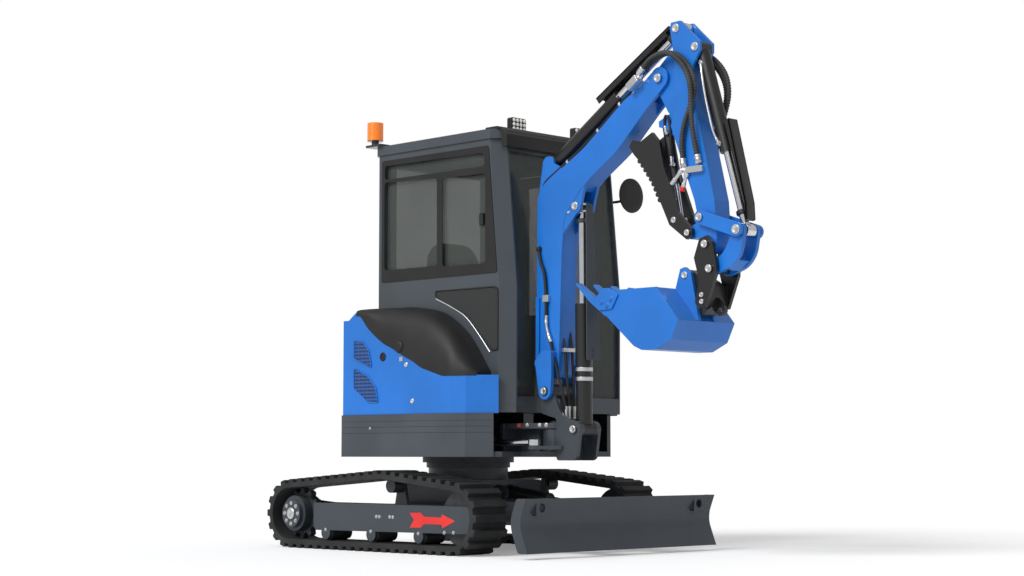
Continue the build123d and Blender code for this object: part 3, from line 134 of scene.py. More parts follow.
class Shader:
    """A material or world under construction, and the one place where nodes are made."""

    def __init__(self, name: str, world: bool = False) -> None:
        """Start an empty node tree.

        Args:
            name: Name of the material or world.
            world: True for a world.
        """
        self.owner = (bpy.data.worlds if world else bpy.data.materials).new(name)
        self.owner.use_nodes = True
        self.tree = self.owner.node_tree
        self.tree.nodes.clear()

    def make(self, kind: str, settings: dict | None = None, inputs: dict | None = None,
             output: int | str = 0) -> Wire | None:
        """Make any node.

        Args:
            kind: Type name of the node.
            settings: Attributes of the node, set first.
            inputs: Sockets by name or number, each with a wire or a plain value.
            output: Which of the node's outputs to hand back.

        Returns:
            The chosen output as a wire, or None for a node without outputs.
        """
        node = self.tree.nodes.new(kind)
        for key, value in (settings or {}).items():
            setattr(node, key, value)
        for key, value in (inputs or {}).items():
            if isinstance(value, Wire):
                self.tree.links.new(value.socket, node.inputs[key])
            else:
                node.inputs[key].default_value = value
        return Wire(self, node.outputs[output]) if node.outputs else None

    def place(self) -> Wire:
        """Position on the piece, in metres of the frame."""
        return self.make("ShaderNodeTexCoord", output="Object")

    def axis(self, number: int) -> Wire:
        """Position along one axis of the frame, in metres."""
        return self.make("ShaderNodeSeparateXYZ", None, {0: self.place()}, number)

    def noise(self, scale: float, detail: float = 3.0, stretch: Point | None = None) -> Wire:
        """Noise between 0 and 1.

        Args:
            scale: Cells per metre.
            detail: Octaves.
            stretch: Factors that squeeze the pattern along each axis.

        Returns:
            The noise value.
        """
        at = self.place()
        if stretch:
            at = self.make("ShaderNodeVectorMath", {"operation": "MULTIPLY"}, {0: at, 1: stretch})
        return self.make("ShaderNodeTexNoise", None, {"Vector": at, "Scale": scale, "Detail": detail})

    def cells(self, scale: float) -> Wire:
        """Distance to the nearest of many scattered points, with scale points per metre."""
        return self.make("ShaderNodeTexVoronoi", None, {"Vector": self.place(), "Scale": scale})

    def mix(self, share: Wire | float, first: Wire | Colour, second: Wire | Colour) -> Wire:
        """Colour between two colours.

        Args:
            share: 0 for the first, 1 for the second.
            first: Colour or wire.
            second: Colour or wire.

        Returns:
            The mixed colour.
        """
        ends = [c if isinstance(c, Wire) else (*c, 1.0) for c in (first, second)]
        return self.make("ShaderNodeMix", {"data_type": "RGBA"}, {0: share, 6: ends[0], 7: ends[1]}, 2)

    def round_edges(self, radius: float) -> Wire:
        """Normal that rounds sharp edges over a radius in metres."""
        return self.make("ShaderNodeBevel", {"samples": 4}, {"Radius": radius})

    def edge_mask(self, normal: Wire) -> Wire:
        """Mask of the edges.

        Args:
            normal: Normal that rounds them.

        Returns:
            Value near 1 on the edges.
        """
        flat = self.make("ShaderNodeNewGeometry", output="Normal")
        dot = self.make("ShaderNodeVectorMath", {"operation": "DOT_PRODUCT"}, {0: normal, 1: flat}, "Value")
        return (1.0 - dot).rise(0.02, 0.2)

    def upward(self) -> Wire:
        """Value near 1 where the surface faces up."""
        normal = self.make("ShaderNodeNewGeometry", output="Normal")
        return self.make("ShaderNodeSeparateXYZ", None, {0: normal}, 2).rise(0.3, 1.0)

    def bump(self, height: Wire, strength: float, distance: float, normal: Wire | None = None) -> Wire:
        """Normal bent by a height.

        Args:
            height: Height between 0 and 1.
            strength: Share of the bump that is used.
            distance: Real height in metres.
            normal: Normal to bend further.

        Returns:
            The new normal.
        """
        inputs = {"Height": height, "Strength": strength, "Distance": distance}
        if normal:
            inputs["Normal"] = normal
        return self.make("ShaderNodeBump", None, inputs)

    def finish(self, **sockets: Wire | float | Colour) -> bpy.types.Material:
        """Principled surface from its sockets.

        Args:
            sockets: Socket names with underscores for spaces, and their wires or plain values.

        Returns:
            The finished material.
        """
        inputs = {}
        for key, value in sockets.items():
            colour = isinstance(value, tuple) and len(value) == 3
            inputs[key.replace("_", " ")] = (*value, 1.0) if colour else value
        surface = self.make("ShaderNodeBsdfPrincipled", None, inputs)
        self.make("ShaderNodeOutputMaterial", None, {"Surface": surface})
        return self.owner


@dataclass(frozen=True)
class Paint:
    """Sprayed paint with a clear coat, faint orange peel and softened edges."""

    name: str
    colour: Colour
    worn: Colour
    roughness: float = 0.32
    coat: float = 0.5
    dust: float = 0.15

    def material(self) -> bpy.types.Material:
        """Build the shader."""
        s = Shader(self.name)
        normal = s.round_edges(0.004)
        cloud = s.noise(3.0, 4.0)
        speck = s.noise(160.0, 2.0)
        edge = s.edge_mask(normal) * speck.rise(0.35, 0.7)
        deep = tuple(c * 0.84 for c in self.colour)
        base = s.mix(cloud.rise(0.3, 0.7), self.colour, deep)
        base = s.mix(edge * 0.5, base, self.worn)
        grime = s.upward() * s.noise(9.0, 5.0).rise(0.35, 0.75) * self.dust
        base = s.mix(grime, base, (0.30, 0.28, 0.25))
        rough = self.roughness + cloud * 0.08 + grime * 0.5
        peel = s.bump(s.noise(420.0, 1.0), 0.12, 0.0006, normal)
        return s.finish(Base_Color=base, Roughness=rough, Normal=peel, Coat_Roughness=0.12,
                        Coat_Weight=self.coat - grime * self.coat, Specular_IOR_Level=0.5)


@dataclass(frozen=True)
class Rubber:
    """Moulded rubber, matt, with dust in its pores."""

    name: str
    colour: Colour
    dusty: Colour
    roughness: float = 0.72

    def material(self) -> bpy.types.Material:
        """Build the shader."""
        s = Shader(self.name)
        normal = s.round_edges(0.005)
        grain = s.noise(260.0, 4.0)
        cloud = s.noise(7.0, 5.0)
        scuff = s.edge_mask(normal) * cloud.rise(0.3, 0.7)
        base = s.mix(cloud.rise(0.35, 0.8) * 0.5, self.colour, self.dusty)
        base = s.mix(scuff * 0.45, base, self.dusty)
        return s.finish(Base_Color=base, Roughness=self.roughness + grain * 0.15,
                        Normal=s.bump(grain, 0.25, 0.0015, normal), Specular_IOR_Level=0.4)


@dataclass(frozen=True)
class Steel:
    """Bare or dark steel with fine turning marks and faint stains."""

    name: str
    colour: Colour
    stain: Colour
    roughness: float = 0.3
    metal: float = 1.0

    def material(self) -> bpy.types.Material:
        """Build the shader."""
        s = Shader(self.name)
        normal = s.round_edges(0.002)
        turned = s.noise(60.0, 3.0, (1.0, 1.0, 14.0))
        cloud = s.noise(22.0, 4.0)
        base = s.mix(cloud.rise(0.45, 0.8) * 0.6, self.colour, self.stain)
        return s.finish(Base_Color=base, Metallic=self.metal, Roughness=self.roughness + turned * 0.12,
                        Normal=s.bump(turned, 0.06, 0.0004, normal))


@dataclass(frozen=True)
class Moulding:
    """Black moulded plastic with a fine leather-like grain."""

    name: str
    colour: Colour
    roughness: float = 0.5
    grain: float = 0.2

    def material(self) -> bpy.types.Material:
        """Build the shader."""
        s = Shader(self.name)
        normal = s.round_edges(0.003)
        pebble = s.cells(380.0)
        cloud = s.noise(5.0, 3.0)
        pale = tuple(c * 1.5 + 0.006 for c in self.colour)
        base = s.mix(cloud.rise(0.3, 0.75) * 0.5, self.colour, pale)
        return s.finish(Base_Color=base, Roughness=self.roughness + cloud * 0.12,
                        Normal=s.bump(pebble, self.grain, 0.0006, normal), Specular_IOR_Level=0.45)


@dataclass(frozen=True)
class Glazing:
    """Tinted safety glass with a faint film of dust."""

    name: str
    colour: Colour
    alpha: float = 0.3

    def material(self) -> bpy.types.Material:
        """Build the shader."""
        s = Shader(self.name)
        film = s.noise(4.0, 4.0).rise(0.3, 0.8)
        return s.finish(Base_Color=self.colour, Roughness=0.02 + film * 0.04,
                        Alpha=self.alpha + film * 0.06, Specular_IOR_Level=0.6)


@dataclass(frozen=True)
class Lens:
    """Ribbed lamp lens that glows a little."""

    name: str
    colour: Colour
    glow: float
    ribs: float = 260.0
    foot: float = 0.0

    def material(self) -> bpy.types.Material:
        """Build the shader; below the height foot, in metres, the lamp is its dark base."""
        s = Shader(self.name)
        at = s.axis(2)
        rib = (at * self.ribs * math.tau * 0.5).wave() * 0.5 + 0.5
        deep = tuple(c * 0.7 for c in self.colour)
        base = s.mix(rib, deep, self.colour)
        lit = at.rise(self.foot - 0.001, self.foot + 0.001)
        base = s.mix(lit, (0.02, 0.021, 0.023), base)
        return s.finish(Base_Color=base, Roughness=0.12 + rib * 0.08, Normal=s.bump(rib, 0.35, 0.0015),
                        Emission_Color=s.mix(lit, (0.0, 0.0, 0.0), base), Emission_Strength=self.glow,
                        Coat_Weight=0.5, Coat_Roughness=0.05)


@dataclass(frozen=True)
class Mesh:
    """Perforated sheet: rows of holes painted near black as painted shade, in a painted web."""

    name: str
    web: Colour
    pitch: float = 0.011

    def material(self) -> bpy.types.Material:
        """Build the shader."""
        s = Shader(self.name)
        turn = math.tau / self.pitch
        along = s.axis(0) * turn
        up = s.axis(2) * (turn * 0.577)
        hole = ((along + up).wave() * (along - up).wave()).rise(0.0, 0.35)
        dust = s.noise(30.0, 3.0).rise(0.3, 0.8)
        # the holes are painted near black: painted shade of the dark inside seen through them
        base = s.mix(hole, s.mix(dust * 0.4, self.web, (0.05, 0.06, 0.08)), (0.004, 0.004, 0.005))
        return s.finish(Base_Color=base, Roughness=0.45 + hole * 0.3, Normal=s.bump(1.0 - hole, 0.6, 0.002))


@dataclass(frozen=True)
class Stepped:
    """Sprayed paint on a pressing with level steps across it, each step line darkened as painted shade in its
    crease.
    """

    name: str
    colour: Colour
    steps: tuple[float, ...]
    roughness: float = 0.4

    def material(self) -> bpy.types.Material:
        """Build the shader; steps are heights in metres."""
        s = Shader(self.name)
        normal = s.round_edges(0.004)
        height = s.axis(2)
        groove = 0.0
        for step in self.steps:
            edge = height.rise(step - 0.002, step + 0.002)
            groove = groove + edge * (1.0 - edge) * 4.0
        cloud = s.noise(3.0, 4.0)
        pale = tuple(c * 1.35 for c in self.colour)
        base = s.mix(cloud.rise(0.3, 0.7), self.colour, pale)
        # step lines mixed towards near black: painted shade in the creases of the steps
        base = s.mix(groove * 0.85, base, (0.012, 0.014, 0.017))
        grain = s.bump(s.noise(420.0, 1.0), 0.1, 0.0006, normal)
        return s.finish(Base_Color=base, Roughness=self.roughness + cloud * 0.1,
                        Normal=s.bump(1.0 - groove, 0.6, 0.003, grain), Coat_Weight=0.3 - groove * 0.2,
                        Coat_Roughness=0.15)


@dataclass(frozen=True)
class Cloth:
    """Woven seat cloth."""

    name: str
    colour: Colour
    thread: Colour
    threads: float = 2600.0

    def material(self) -> bpy.types.Material:
        """Build the shader."""
        s = Shader(self.name)
        across = (s.axis(1) * self.threads).wave()
        along = ((s.axis(0) + s.axis(2)) * self.threads).wave()
        weave = across * along * 0.5 + 0.5
        fuzz = s.noise(120.0, 4.0)
        base = s.mix(weave * fuzz, self.colour, self.thread)
        return s.finish(Base_Color=base, Roughness=0.85 + fuzz * 0.1, Normal=s.bump(weave, 0.4, 0.0008),
                        Sheen_Weight=0.25)


BLUE = (0.004, 0.175, 0.66)
SLATE = (0.040, 0.050, 0.062)
FINISHES = {finish.name: finish for finish in (
    Rubber("track_rubber", (0.018, 0.019, 0.020), (0.055, 0.055, 0.055)),
    Paint("frame_paint", (0.036, 0.047, 0.060), (0.10, 0.11, 0.12), 0.42, 0.25, 0.3),
    Steel("dark_steel", (0.075, 0.08, 0.088), (0.04, 0.04, 0.042), 0.45, 0.6),
    Paint("house_grey", SLATE, (0.13, 0.14, 0.15), 0.4, 0.3, 0.12),
    Paint("cab_grey", (0.050, 0.062, 0.076), (0.14, 0.15, 0.16), 0.36, 0.4, 0.1),
    Paint("blue_paint", BLUE, (0.10, 0.30, 0.75), 0.36, 0.25, 0.04),
    Moulding("black_plastic", (0.007, 0.007, 0.0075)),
    Paint("black_paint", (0.006, 0.006, 0.0065), (0.06, 0.06, 0.06), 0.38, 0.3, 0.1),
    Steel("chrome", (0.82, 0.82, 0.84), (0.66, 0.66, 0.68), 0.08, 1.0),
    Glazing("glass", (0.075, 0.088, 0.080), 0.5),
    Cloth("seat_fabric", (0.010, 0.010, 0.011), (0.035, 0.035, 0.038)),
    Lens("amber", (0.95, 0.22, 0.015), 0.35, 260.0, 2.42),
    Lens("lamp_lens", (0.85, 0.85, 0.82), 0.25, 420.0, 2.3),
    Stepped("stepped_grey", SLATE, (0.735, 0.702, 0.668)),
    Mesh("vent_mesh", (0.010, 0.10, 0.40), 0.024),
    Moulding("red_mark", (0.72, 0.03, 0.025), 0.4, 0.08),
    Rubber("hose_rubber", (0.012, 0.012, 0.013), (0.04, 0.04, 0.042), 0.5),
    Rubber("hose_wrap", (0.035, 0.035, 0.035), (0.12, 0.12, 0.115), 0.45),
    Steel("zinc", (0.74, 0.74, 0.75), (0.55, 0.55, 0.53), 0.26, 1.0),
    Glazing("pane", (0.03, 0.034, 0.034), 0.82),
    Steel("trim_steel", (0.62, 0.64, 0.66), (0.45, 0.46, 0.48), 0.3, 0.8),
    Steel("engine_iron", (0.10, 0.10, 0.10), (0.05, 0.05, 0.05), 0.55, 0.4),
)}
MATERIALS: dict[str, bpy.types.Material] = {}


def material(name: str) -> bpy.types.Material:
    """Material of a finish, made once.

    Args:
        name: Name of the finish.

    Returns:
        The material.
    """
    if name not in MATERIALS:
        MATERIALS[name] = FINISHES[name].material()
    return MATERIALS[name]


@dataclass
class Studio:
    """White floor, soft light and the camera."""

    eye: Point = (8437.0, -8043.0, 552.5)
    heading: float = 45.1
    pitch: float = 4.82
    lens: float = 68.97
    sensor: float = 36.0
    reach: float = 300.0
    floor_half: float = 60.0
    floor_grey: float = 0.86
    floor_lift: float = 0.22
    ambient: float = 0.5
    key_power: float = 2.2
    key_angle: float = 28.0
    key_way: Point = (0.05, 1.0, -0.8)

    def camera(self) -> None:
        """Camera at the photograph's place."""
        data = bpy.data.cameras.new("camera")
        data.lens = self.lens
        data.sensor_width = self.sensor
        data.clip_end = self.reach
        shot = bpy.data.objects.new("camera", data)
        bpy.context.scene.collection.objects.link(shot)
        turn = math.radians(self.heading)
        up = math.radians(self.pitch)
        ahead = Vector((-math.sin(turn) * math.cos(up), math.cos(turn) * math.cos(up), math.sin(up)))
        shot.location = spot(*self.eye)
        shot.rotation_euler = ahead.to_track_quat("-Z", "Y").to_euler()
        bpy.context.scene.camera = shot

    def floor(self) -> None:
        """Pale floor that reads white and keeps the shadow."""
        mesh = bpy.data.meshes.new("floor")
        h = self.floor_half
        mesh.from_pydata([(-h, -h, 0), (h, -h, 0), (h, h, 0), (-h, h, 0)], [], [(0, 1, 2, 3)])
        plane = bpy.data.objects.new("floor", mesh)
        bpy.context.scene.collection.objects.link(plane)
        s = Shader("floor")
        seen = s.make("ShaderNodeLightPath", output="Is Camera Ray")
        grey = self.floor_grey
        matt = s.make("ShaderNodeBsdfDiffuse", None, {"Color": (grey, grey, grey, 1.0)})
        white = s.make("ShaderNodeEmission", None, {"Color": WHITE, "Strength": self.floor_lift})
        lifted = s.make("ShaderNodeAddShader", None, {0: matt, 1: white})
        both = s.make("ShaderNodeMixShader", None, {0: seen, 1: matt, 2: lifted})
        s.make("ShaderNodeOutputMaterial", None, {"Surface": both})
        mesh.materials.append(s.owner)

    def lights(self) -> None:
        """Soft ambient light and one broad key lamp."""
        s = Shader("studio", True)
        bpy.context.scene.world = s.owner
        direct = s.make("ShaderNodeLightPath", output="Is Camera Ray")
        through = s.make("ShaderNodeLightPath", output="Is Transmission Ray")
        seen = s.make("ShaderNodeMath", {"operation": "MAXIMUM"}, {0: direct, 1: through})
        dim = s.make("ShaderNodeBackground", None, {"Color": WHITE, "Strength": self.ambient})
        white = s.make("ShaderNodeBackground", None, {"Color": WHITE, "Strength": 1.0})
        both = s.make("ShaderNodeMixShader", None, {0: seen, 1: dim, 2: white})
        s.make("ShaderNodeOutputWorld", None, {"Surface": both})
        lamp = bpy.data.lights.new("key", "SUN")
        lamp.energy = self.key_power
        lamp.angle = math.radians(self.key_angle)
        key = bpy.data.objects.new("key", lamp)
        bpy.context.scene.collection.objects.link(key)
        key.rotation_euler = Vector(self.key_way).to_track_quat("-Z", "Y").to_euler()

    def build(self) -> None:
        """Set the stage."""
        self.camera()
        self.floor()
        self.lights()
        bpy.context.scene.view_settings.view_transform = "Standard"


def rounded(corners: Outline | list[Corner], steps: int = 5) -> list[Flat]:
    """Outline with rounded corners.

    Args:
        corners: (x, z, radius) of each corner, in millimetres.
        steps: Points on each rounded corner.

    Returns:
        The outline's points.
    """
    points = []
    for i, (x, z, r) in enumerate(corners):
        if r <= 0:
            points.append((x, z))
            continue
        here = Vector((x, z))
        back = (Vector(corners[i - 1][:2]) - here).normalized()
        ahead = (Vector(corners[(i + 1) % len(corners)][:2]) - here).normalized()
        half = back.angle(ahead) / 2
        reach = r / math.tan(half)
        for k in range(steps + 1):
            t = k / steps
            a = here + back * reach * (1 - t)
            b = here + ahead * reach * t
            mid = a * (1 - t) + b * t
            points.append((mid.x, mid.y))
    return points


def upright(outline: Profile | list[Flat], y: float) -> list[Vector]:
    """Outline in X and Z placed at one Y, in the frame."""
    return [spot(x, y, z) for x, z in outline]


def smooth_line(knots: Profile, steps: int) -> list[Flat]:
    """Smooth line through knots.

    Args:
        knots: Points that the line passes.
        steps: Pieces between two knots.

    Returns:
        Points along the line.
    """
    ends = [knots[0], *knots, knots[-1]]
    line = []
    for i in range(1, len(ends) - 2):
        a, b, c, d = (Vector(p) for p in ends[i - 1:i + 3])
        for k in range(steps):
            t = k / steps
            bend = (2 * a - 5 * b + 4 * c - d) * t ** 2
            twist = (3 * b - a - 3 * c + d) * t ** 3
            q = (2 * b + (c - a) * t + bend + twist) / 2
            line.append((q.x, q.y))
    return line + [knots[-1]]


def surface(node: str, start: Vector, way: Vector) -> Vector:
    """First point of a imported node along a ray.

    Args:
        node: Name of the node.
        start: Where the ray starts.
        way: Its direction.

    Returns:
        The point that is met, or the start where nothing is.
    """
    met, place, _, _ = frame["nodes"][node].ray_cast(start, way)
    return place if met else start


def middle_of(points: list[Vector]) -> Vector:
    """Middle of some points."""
    return sum(points, Vector()) / len(points)


def oblong(x0: float, x1: float, z0: float, z1: float, r: float = 0, steps: int = 5) -> list[Flat]:
    """Rectangle between two X and two Z, with its corners rounded."""
    return rounded([(x0, z0, r), (x1, z0, r), (x1, z1, r), (x0, z1, r)], steps)


def spokes(axis: Vector, sides: int) -> list[Vector]:
    """Unit vectors round an axis.

    Args:
        axis: Direction of the axis.
        sides: How many vectors.

    Returns:
        The vectors, in order.
    """
    z = axis.normalized()
    u = z.orthogonal().normalized()
    v = z.cross(u)
    turns = [math.tau * i / sides for i in range(sides)]
    return [u * math.cos(t) + v * math.sin(t) for t in turns]


def traced(curve: bpy.types.Curve) -> tuple[list[Vector], list[tuple[int, ...]]]:
    """Mesh of a curve, which is then removed.

    Args:
        curve: The curve.

    Returns:
        The mesh's points and faces.
    """
    holder = bpy.data.objects.new(curve.name, curve)
    raw = bpy.data.meshes.new_from_object(holder)
    points = [v.co.copy() for v in raw.vertices]
    faces = [tuple(f.vertices) for f in raw.polygons]
    bpy.data.objects.remove(holder)
    bpy.data.curves.remove(curve)
    bpy.data.meshes.remove(raw)
    return points, faces


@dataclass
class Form:
    """A closed mesh under construction, joined from many small solids."""

    name: str
    points: list[Vector] = field(default_factory=list)
    faces: list[tuple[int, ...]] = field(default_factory=list)

    def loft(self, rings: list[list[Vector]], closed: bool = False) -> None:
        """Skin through rings of equal counts.

        Args:
            rings: Rings of points, in order.
            closed: True where the last ring joins the first, otherwise both ends are capped.
        """
        start = len(self.points)
        n = len(rings[0])
        total = len(rings)
        for ring in rings:
            self.points.extend(ring)
        for k in range(total if closed else total - 1):
            a = start + k * n
            b = start + (k + 1) % total * n
            for i in range(n):
                j = (i + 1) % n
                self.faces.append((a + i, a + j, b + j, b + i))
        if not closed:
            self.faces.append(tuple(range(start, start + n)))
            self.faces.append(tuple(range(start + (total - 1) * n, start + total * n)))

    def plate(self, outline: list[Vector], push: Vector, edge: float = 0.0012) -> None:
        """Plate chamfered on its far rim.

        Args:
            outline: Its near face.
            push: Way to its far face.
            edge: Width of the chamfer, in metres.
        """
        middle = middle_of(outline)
        shy = push * max(0, 1 - edge / push.length)
        rim = [q + (middle - q).normalized() * edge + push for q in outline]
        self.loft([outline, [q + shy for q in outline], rim])

    def bead(self, outline: list[Vector], section: Profile) -> None:
        """Bead round an outline, on its right.

        Args:
            outline: Points that it follows.
            section: (inwards, out to the right) corners, in millimetres.
        """
        middle = middle_of(outline)
        self.loft([[q + ((middle - q).normalized() * a + RIGHT * b) * MM for a, b in section]
                   for q in outline], True)

    def turned(self, centre: Vector, axis: Vector, profile: Profile, sides: int = 24) -> None:
        """Turned solid.

        Args:
            centre: Start of its axis.
            axis: Direction of its axis.
            profile: (distance along the axis, radius) pairs, in millimetres.
            sides: Points round the axis.
        """
        z = axis.normalized()
        ways = spokes(axis, sides)
        self.loft([[centre + (z * d + s * r) * MM for s in ways] for d, r in profile])

    def hoop(self, centre: Vector, axis: Vector, inner: float, outer: float, width: float) -> None:
        """Ring round an axis, with softened outer edges.

        Args:
            centre: Its middle.
            axis: Direction of its axis.
            inner: Inner radius, in millimetres.
            outer: Outer radius, in millimetres.
            width: Length along the axis, in millimetres.
        """
        z = axis.normalized()
        lip = (outer - inner) * 0.3
        half = width / 2
        section = ((-half, inner), (half, inner), (half, outer - lip), (half - lip, outer),
                   (lip - half, outer), (-half, outer - lip))
        self.loft([[centre + (z * d + s * r) * MM for d, r in section] for s in spokes(axis, 32)], True)

    def pin(self, centre: Vector, axis: Vector, r: float) -> None:
        """Pin head with a chamfered rim and a dished middle."""
        self.turned(centre, axis, ((-2, r), (5, r), (7.5, r - 3), (7.5, r * 0.6), (6, r * 0.5)), 28)

    def bolt(self, centre: Vector, axis: Vector, r: float) -> None:
        """Hexagon bolt on a washer."""
        self.turned(centre, axis, ((-1, r * 1.7), (1.4, r * 1.7), (2, r * 1.6)), 20)
        self.turned(centre, axis, ((1, r * 1.12), (r * 0.75, r * 1.12), (r * 0.95, r * 0.95)), 6)

    def tube(self, line: list[Vector], radii: list[float], sides: int = 12) -> None:
        """Tube along a line.

        Args:
            line: Points of its axis.
            radii: Radius at each point, in millimetres.
            sides: Points round the axis.
        """
        rings = []
        turns = [math.tau * k / sides for k in range(sides)]
        side = (line[1] - line[0]).orthogonal().normalized()
        for i, at in enumerate(line):
            way = (line[min(i + 1, len(line) - 1)] - line[max(i - 1, 0)]).normalized()
            side = (side - way * side.dot(way)).normalized()
            other = way.cross(side)
            rings.append([at + (side * math.cos(t) + other * math.sin(t)) * radii[i] * MM for t in turns])
        self.loft(rings)

    def pierced(self, outer: Outline, holes: tuple[Outline, ...], y: float, thick: float) -> None:
        """Flat plate across Y with rounded openings.

        Args:
            outer: Its outline.
            holes: Outlines of its openings.
            y: Y of its back face.
            thick: Thickness, towards the right side.
        """
        curve = bpy.data.curves.new(self.name, "CURVE")
        curve.dimensions = "2D"
        curve.fill_mode = "BOTH"
        curve.extrude = thick * MM / 2
        for corners in (outer, *holes):
            outline = rounded(corners)
            spline = curve.splines.new("POLY")
            spline.points.add(len(outline) - 1)
            spline.use_cyclic_u = True
            for knot, (x, z) in zip(spline.points, outline):
                knot.co = (x * MM, z * MM, 0, 1)
        start = len(self.points)
        back = spot(0, y - thick / 2, 0)
        points, faces = traced(curve)
        self.points.extend(back + Vector((p.x, -p.z, p.y)) for p in points)
        self.faces.extend(tuple(start + i for i in face) for face in faces)

    def piece(self, body: str | None, finish: str) -> bpy.types.Object:
        """Turn the form into a piece of the scene.

        Args:
            body: Body that it rides on, or None to leave it on no body.
            finish: Name of its finish.

        Returns:
            The new object.
        """
        mesh = bpy.data.meshes.new(self.name)
        mesh.from_pydata(self.points, [], self.faces)
        work = bmesh.new()
        work.from_mesh(mesh)
        bmesh.ops.remove_doubles(work, verts=work.verts, dist=SAME_POINT)
        bmesh.ops.recalc_face_normals(work, faces=work.faces)
        work.to_mesh(mesh)
        work.free()
        mesh.shade_smooth()
        mesh.set_sharp_from_angle(angle=math.radians(SHARP_DEGREES))
        mesh.materials.append(material(finish))
        made = bpy.data.objects.new(self.name, mesh)
        bpy.context.scene.collection.objects.link(made)
        if body:
            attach(made, body)
        LOG.info("%s on %s, %d faces", self.name, body, len(mesh.polygons))
        return made


class Cover(Enum):
    """What a hose wears on its outside."""

    PLAIN = "plain"
    SPIRAL = "spiral"


@dataclass(frozen=True)
class Hose:
    """A hydraulic line or bent rod held at both ends, on a smooth route."""

    name: str
    route: tuple[Point, ...]
    radius: float = 9
    cover: Cover = Cover.PLAIN

    def line(self) -> list[Vector]:
        """Points at even steps along the route's curve."""
        curve = bpy.data.curves.new(self.name, "CURVE")
        curve.dimensions = "3D"
        curve.resolution_u = 24
        spline = curve.splines.new("NURBS")
        spline.points.add(len(self.route) - 1)
        for knot, at in zip(spline.points, self.route):
            knot.co = (*spot(*at), 1)
        spline.order_u = 3
        spline.use_endpoint_u = True
        dense, _ = traced(curve)
        step = 0.005 if self.cover is Cover.SPIRAL else 0.012
        even = [dense[0]]
        for at in dense[1:]:
            while (at - even[-1]).length > step:
                even.append(even[-1] + (at - even[-1]).normalized() * step)
        return even

    def build(self, form: Form) -> list[Vector]:
        """Add the hose to a form.

        Args:
            form: Form that takes it.

        Returns:
            The line it follows.
        """
        line = self.line()
        radii = [self.radius] * len(line)
        if self.cover is Cover.SPIRAL:
            radii = [self.radius * (1 if i % 3 else 0.76) for i in range(len(line))]
        form.tube(line, radii)
        return line

    def scaled(self, profile: Profile) -> Profile:
        """Profile with its radii given in radii of the hose."""
        return tuple((d, self.radius * k) for d, k in profile)

    def ferrule(self, form: Form, line: list[Vector], last: bool) -> None:
        """Crimped end sleeve with its nut.

        Args:
            form: Form that takes it.
            line: Line of the hose.
            last: True for the line's last point, otherwise its first.
        """
        at, way = (line[-1], line[-1] - line[-3]) if last else (line[0], line[0] - line[2])
        sleeve = ((0, 1.1), (4, 1.28), (14, 1.28), (16, 1.15), (20, 1.28), (30, 1.28), (33, 0.9))
        nut = ((2, 1.35), (16, 1.35), (18, 1.1))
        form.turned(at - way.normalized() * 0.03, way, self.scaled(sleeve), 16)
        form.turned(at, way, self.scaled(nut), 6)

    def ends(self, form: Form, line: list[Vector]) -> None:
        """Sleeves at both ends of the line."""
        self.ferrule(form, line, True)
        self.ferrule(form, line, False)


@dataclass
class PinHeads:
    """Heads of the hinge pins on both sides of the boom, arm and tools: X, Z, way out and radius."""

    heads: tuple[tuple[str, tuple[Numbers, ...]], ...] = (
        ("boom", ((1686, 2543, 74, 24), (1068, 1913, 60, 24), (1022, 1881, 60, 9))),
        ("arm", ((1804, 2795, 60, 24), (1933, 2677, 60, 24))),
        ("side_links", ((2220, 1688, 92, 26), (1982, 1771, 98, 22))),
        ("hitch", ((2027, 1627, 110, 21), (2054, 1498, 110, 21), (2000, 1366, 102, 14), (2000, 1331, 102, 14),
                   (1864, 1478, 74, 20))),
        ("thumb", ((1787, 1774, 68, 17), (1882, 1699, 74, 18))),
        ("swing_bracket", ((1078, 684, 92, 22), (880, 895, 116, 21))))

    def build(self) -> None:
        """One joined mesh of heads per body."""
        for body, pins in self.heads:
            form = Form(f"{body}_pins")
            for x, z, out, r in pins:
                form.pin(spot(x, BOOM_Y - out, z), RIGHT, r)
                form.pin(spot(x, BOOM_Y + out, z), LEFT, r)
            form.piece(body, "zinc")


@dataclass
class Undercarriage:
    """Bolts, hub caps and direction marks of the track frames."""

    hub: Point = (-754, 729, 200)
    cap: Profile = ((-2, 34), (6, 34), (10, 28), (10, 12), (8, 9))
    ring_r: float = 60
    ring_bolts: int = 8
    ring_bolt_r: float = 7
    panel_y: float = 715
    panel_bolt_r: float = 6
    bolts: Profile = (
        (-2, 197), (24, 197), (112, 198), (138, 197), (561, 122), (634, 124), (-51, 112), (350, 112),
        (-450, 112))
    arrow: Profile = (
        (280, 224), (370, 227), (399, 205), (540, 204), (542, 221), (648, 187), (544, 144), (542, 165),
        (400, 165), (370, 144), (280, 142), (315, 186))

    def build(self) -> None:
        """Both sides of the undercarriage."""
        steel = Form("track_frame_bolts")
        marks = Form("direction_marks")
        x, y, z = self.hub
        for way in (RIGHT, LEFT):
            steel.turned(spot(x, y * way.y, z), way, self.cap, 28)
            for i in range(self.ring_bolts):
                t = math.tau * i / self.ring_bolts
                at = spot(x + self.ring_r * math.cos(t), y * way.y, z + self.ring_r * math.sin(t))
                steel.bolt(at, way, self.ring_bolt_r)
            for bx, bz in self.bolts:
                steel.bolt(spot(bx, self.panel_y * way.y, bz), way, self.panel_bolt_r)
            marks.plate(upright(self.arrow, self.panel_y * way.y), way * 0.0012, 0.0004)
        steel.piece("undercarriage", "zinc")
        marks.piece("undercarriage", "red_mark")


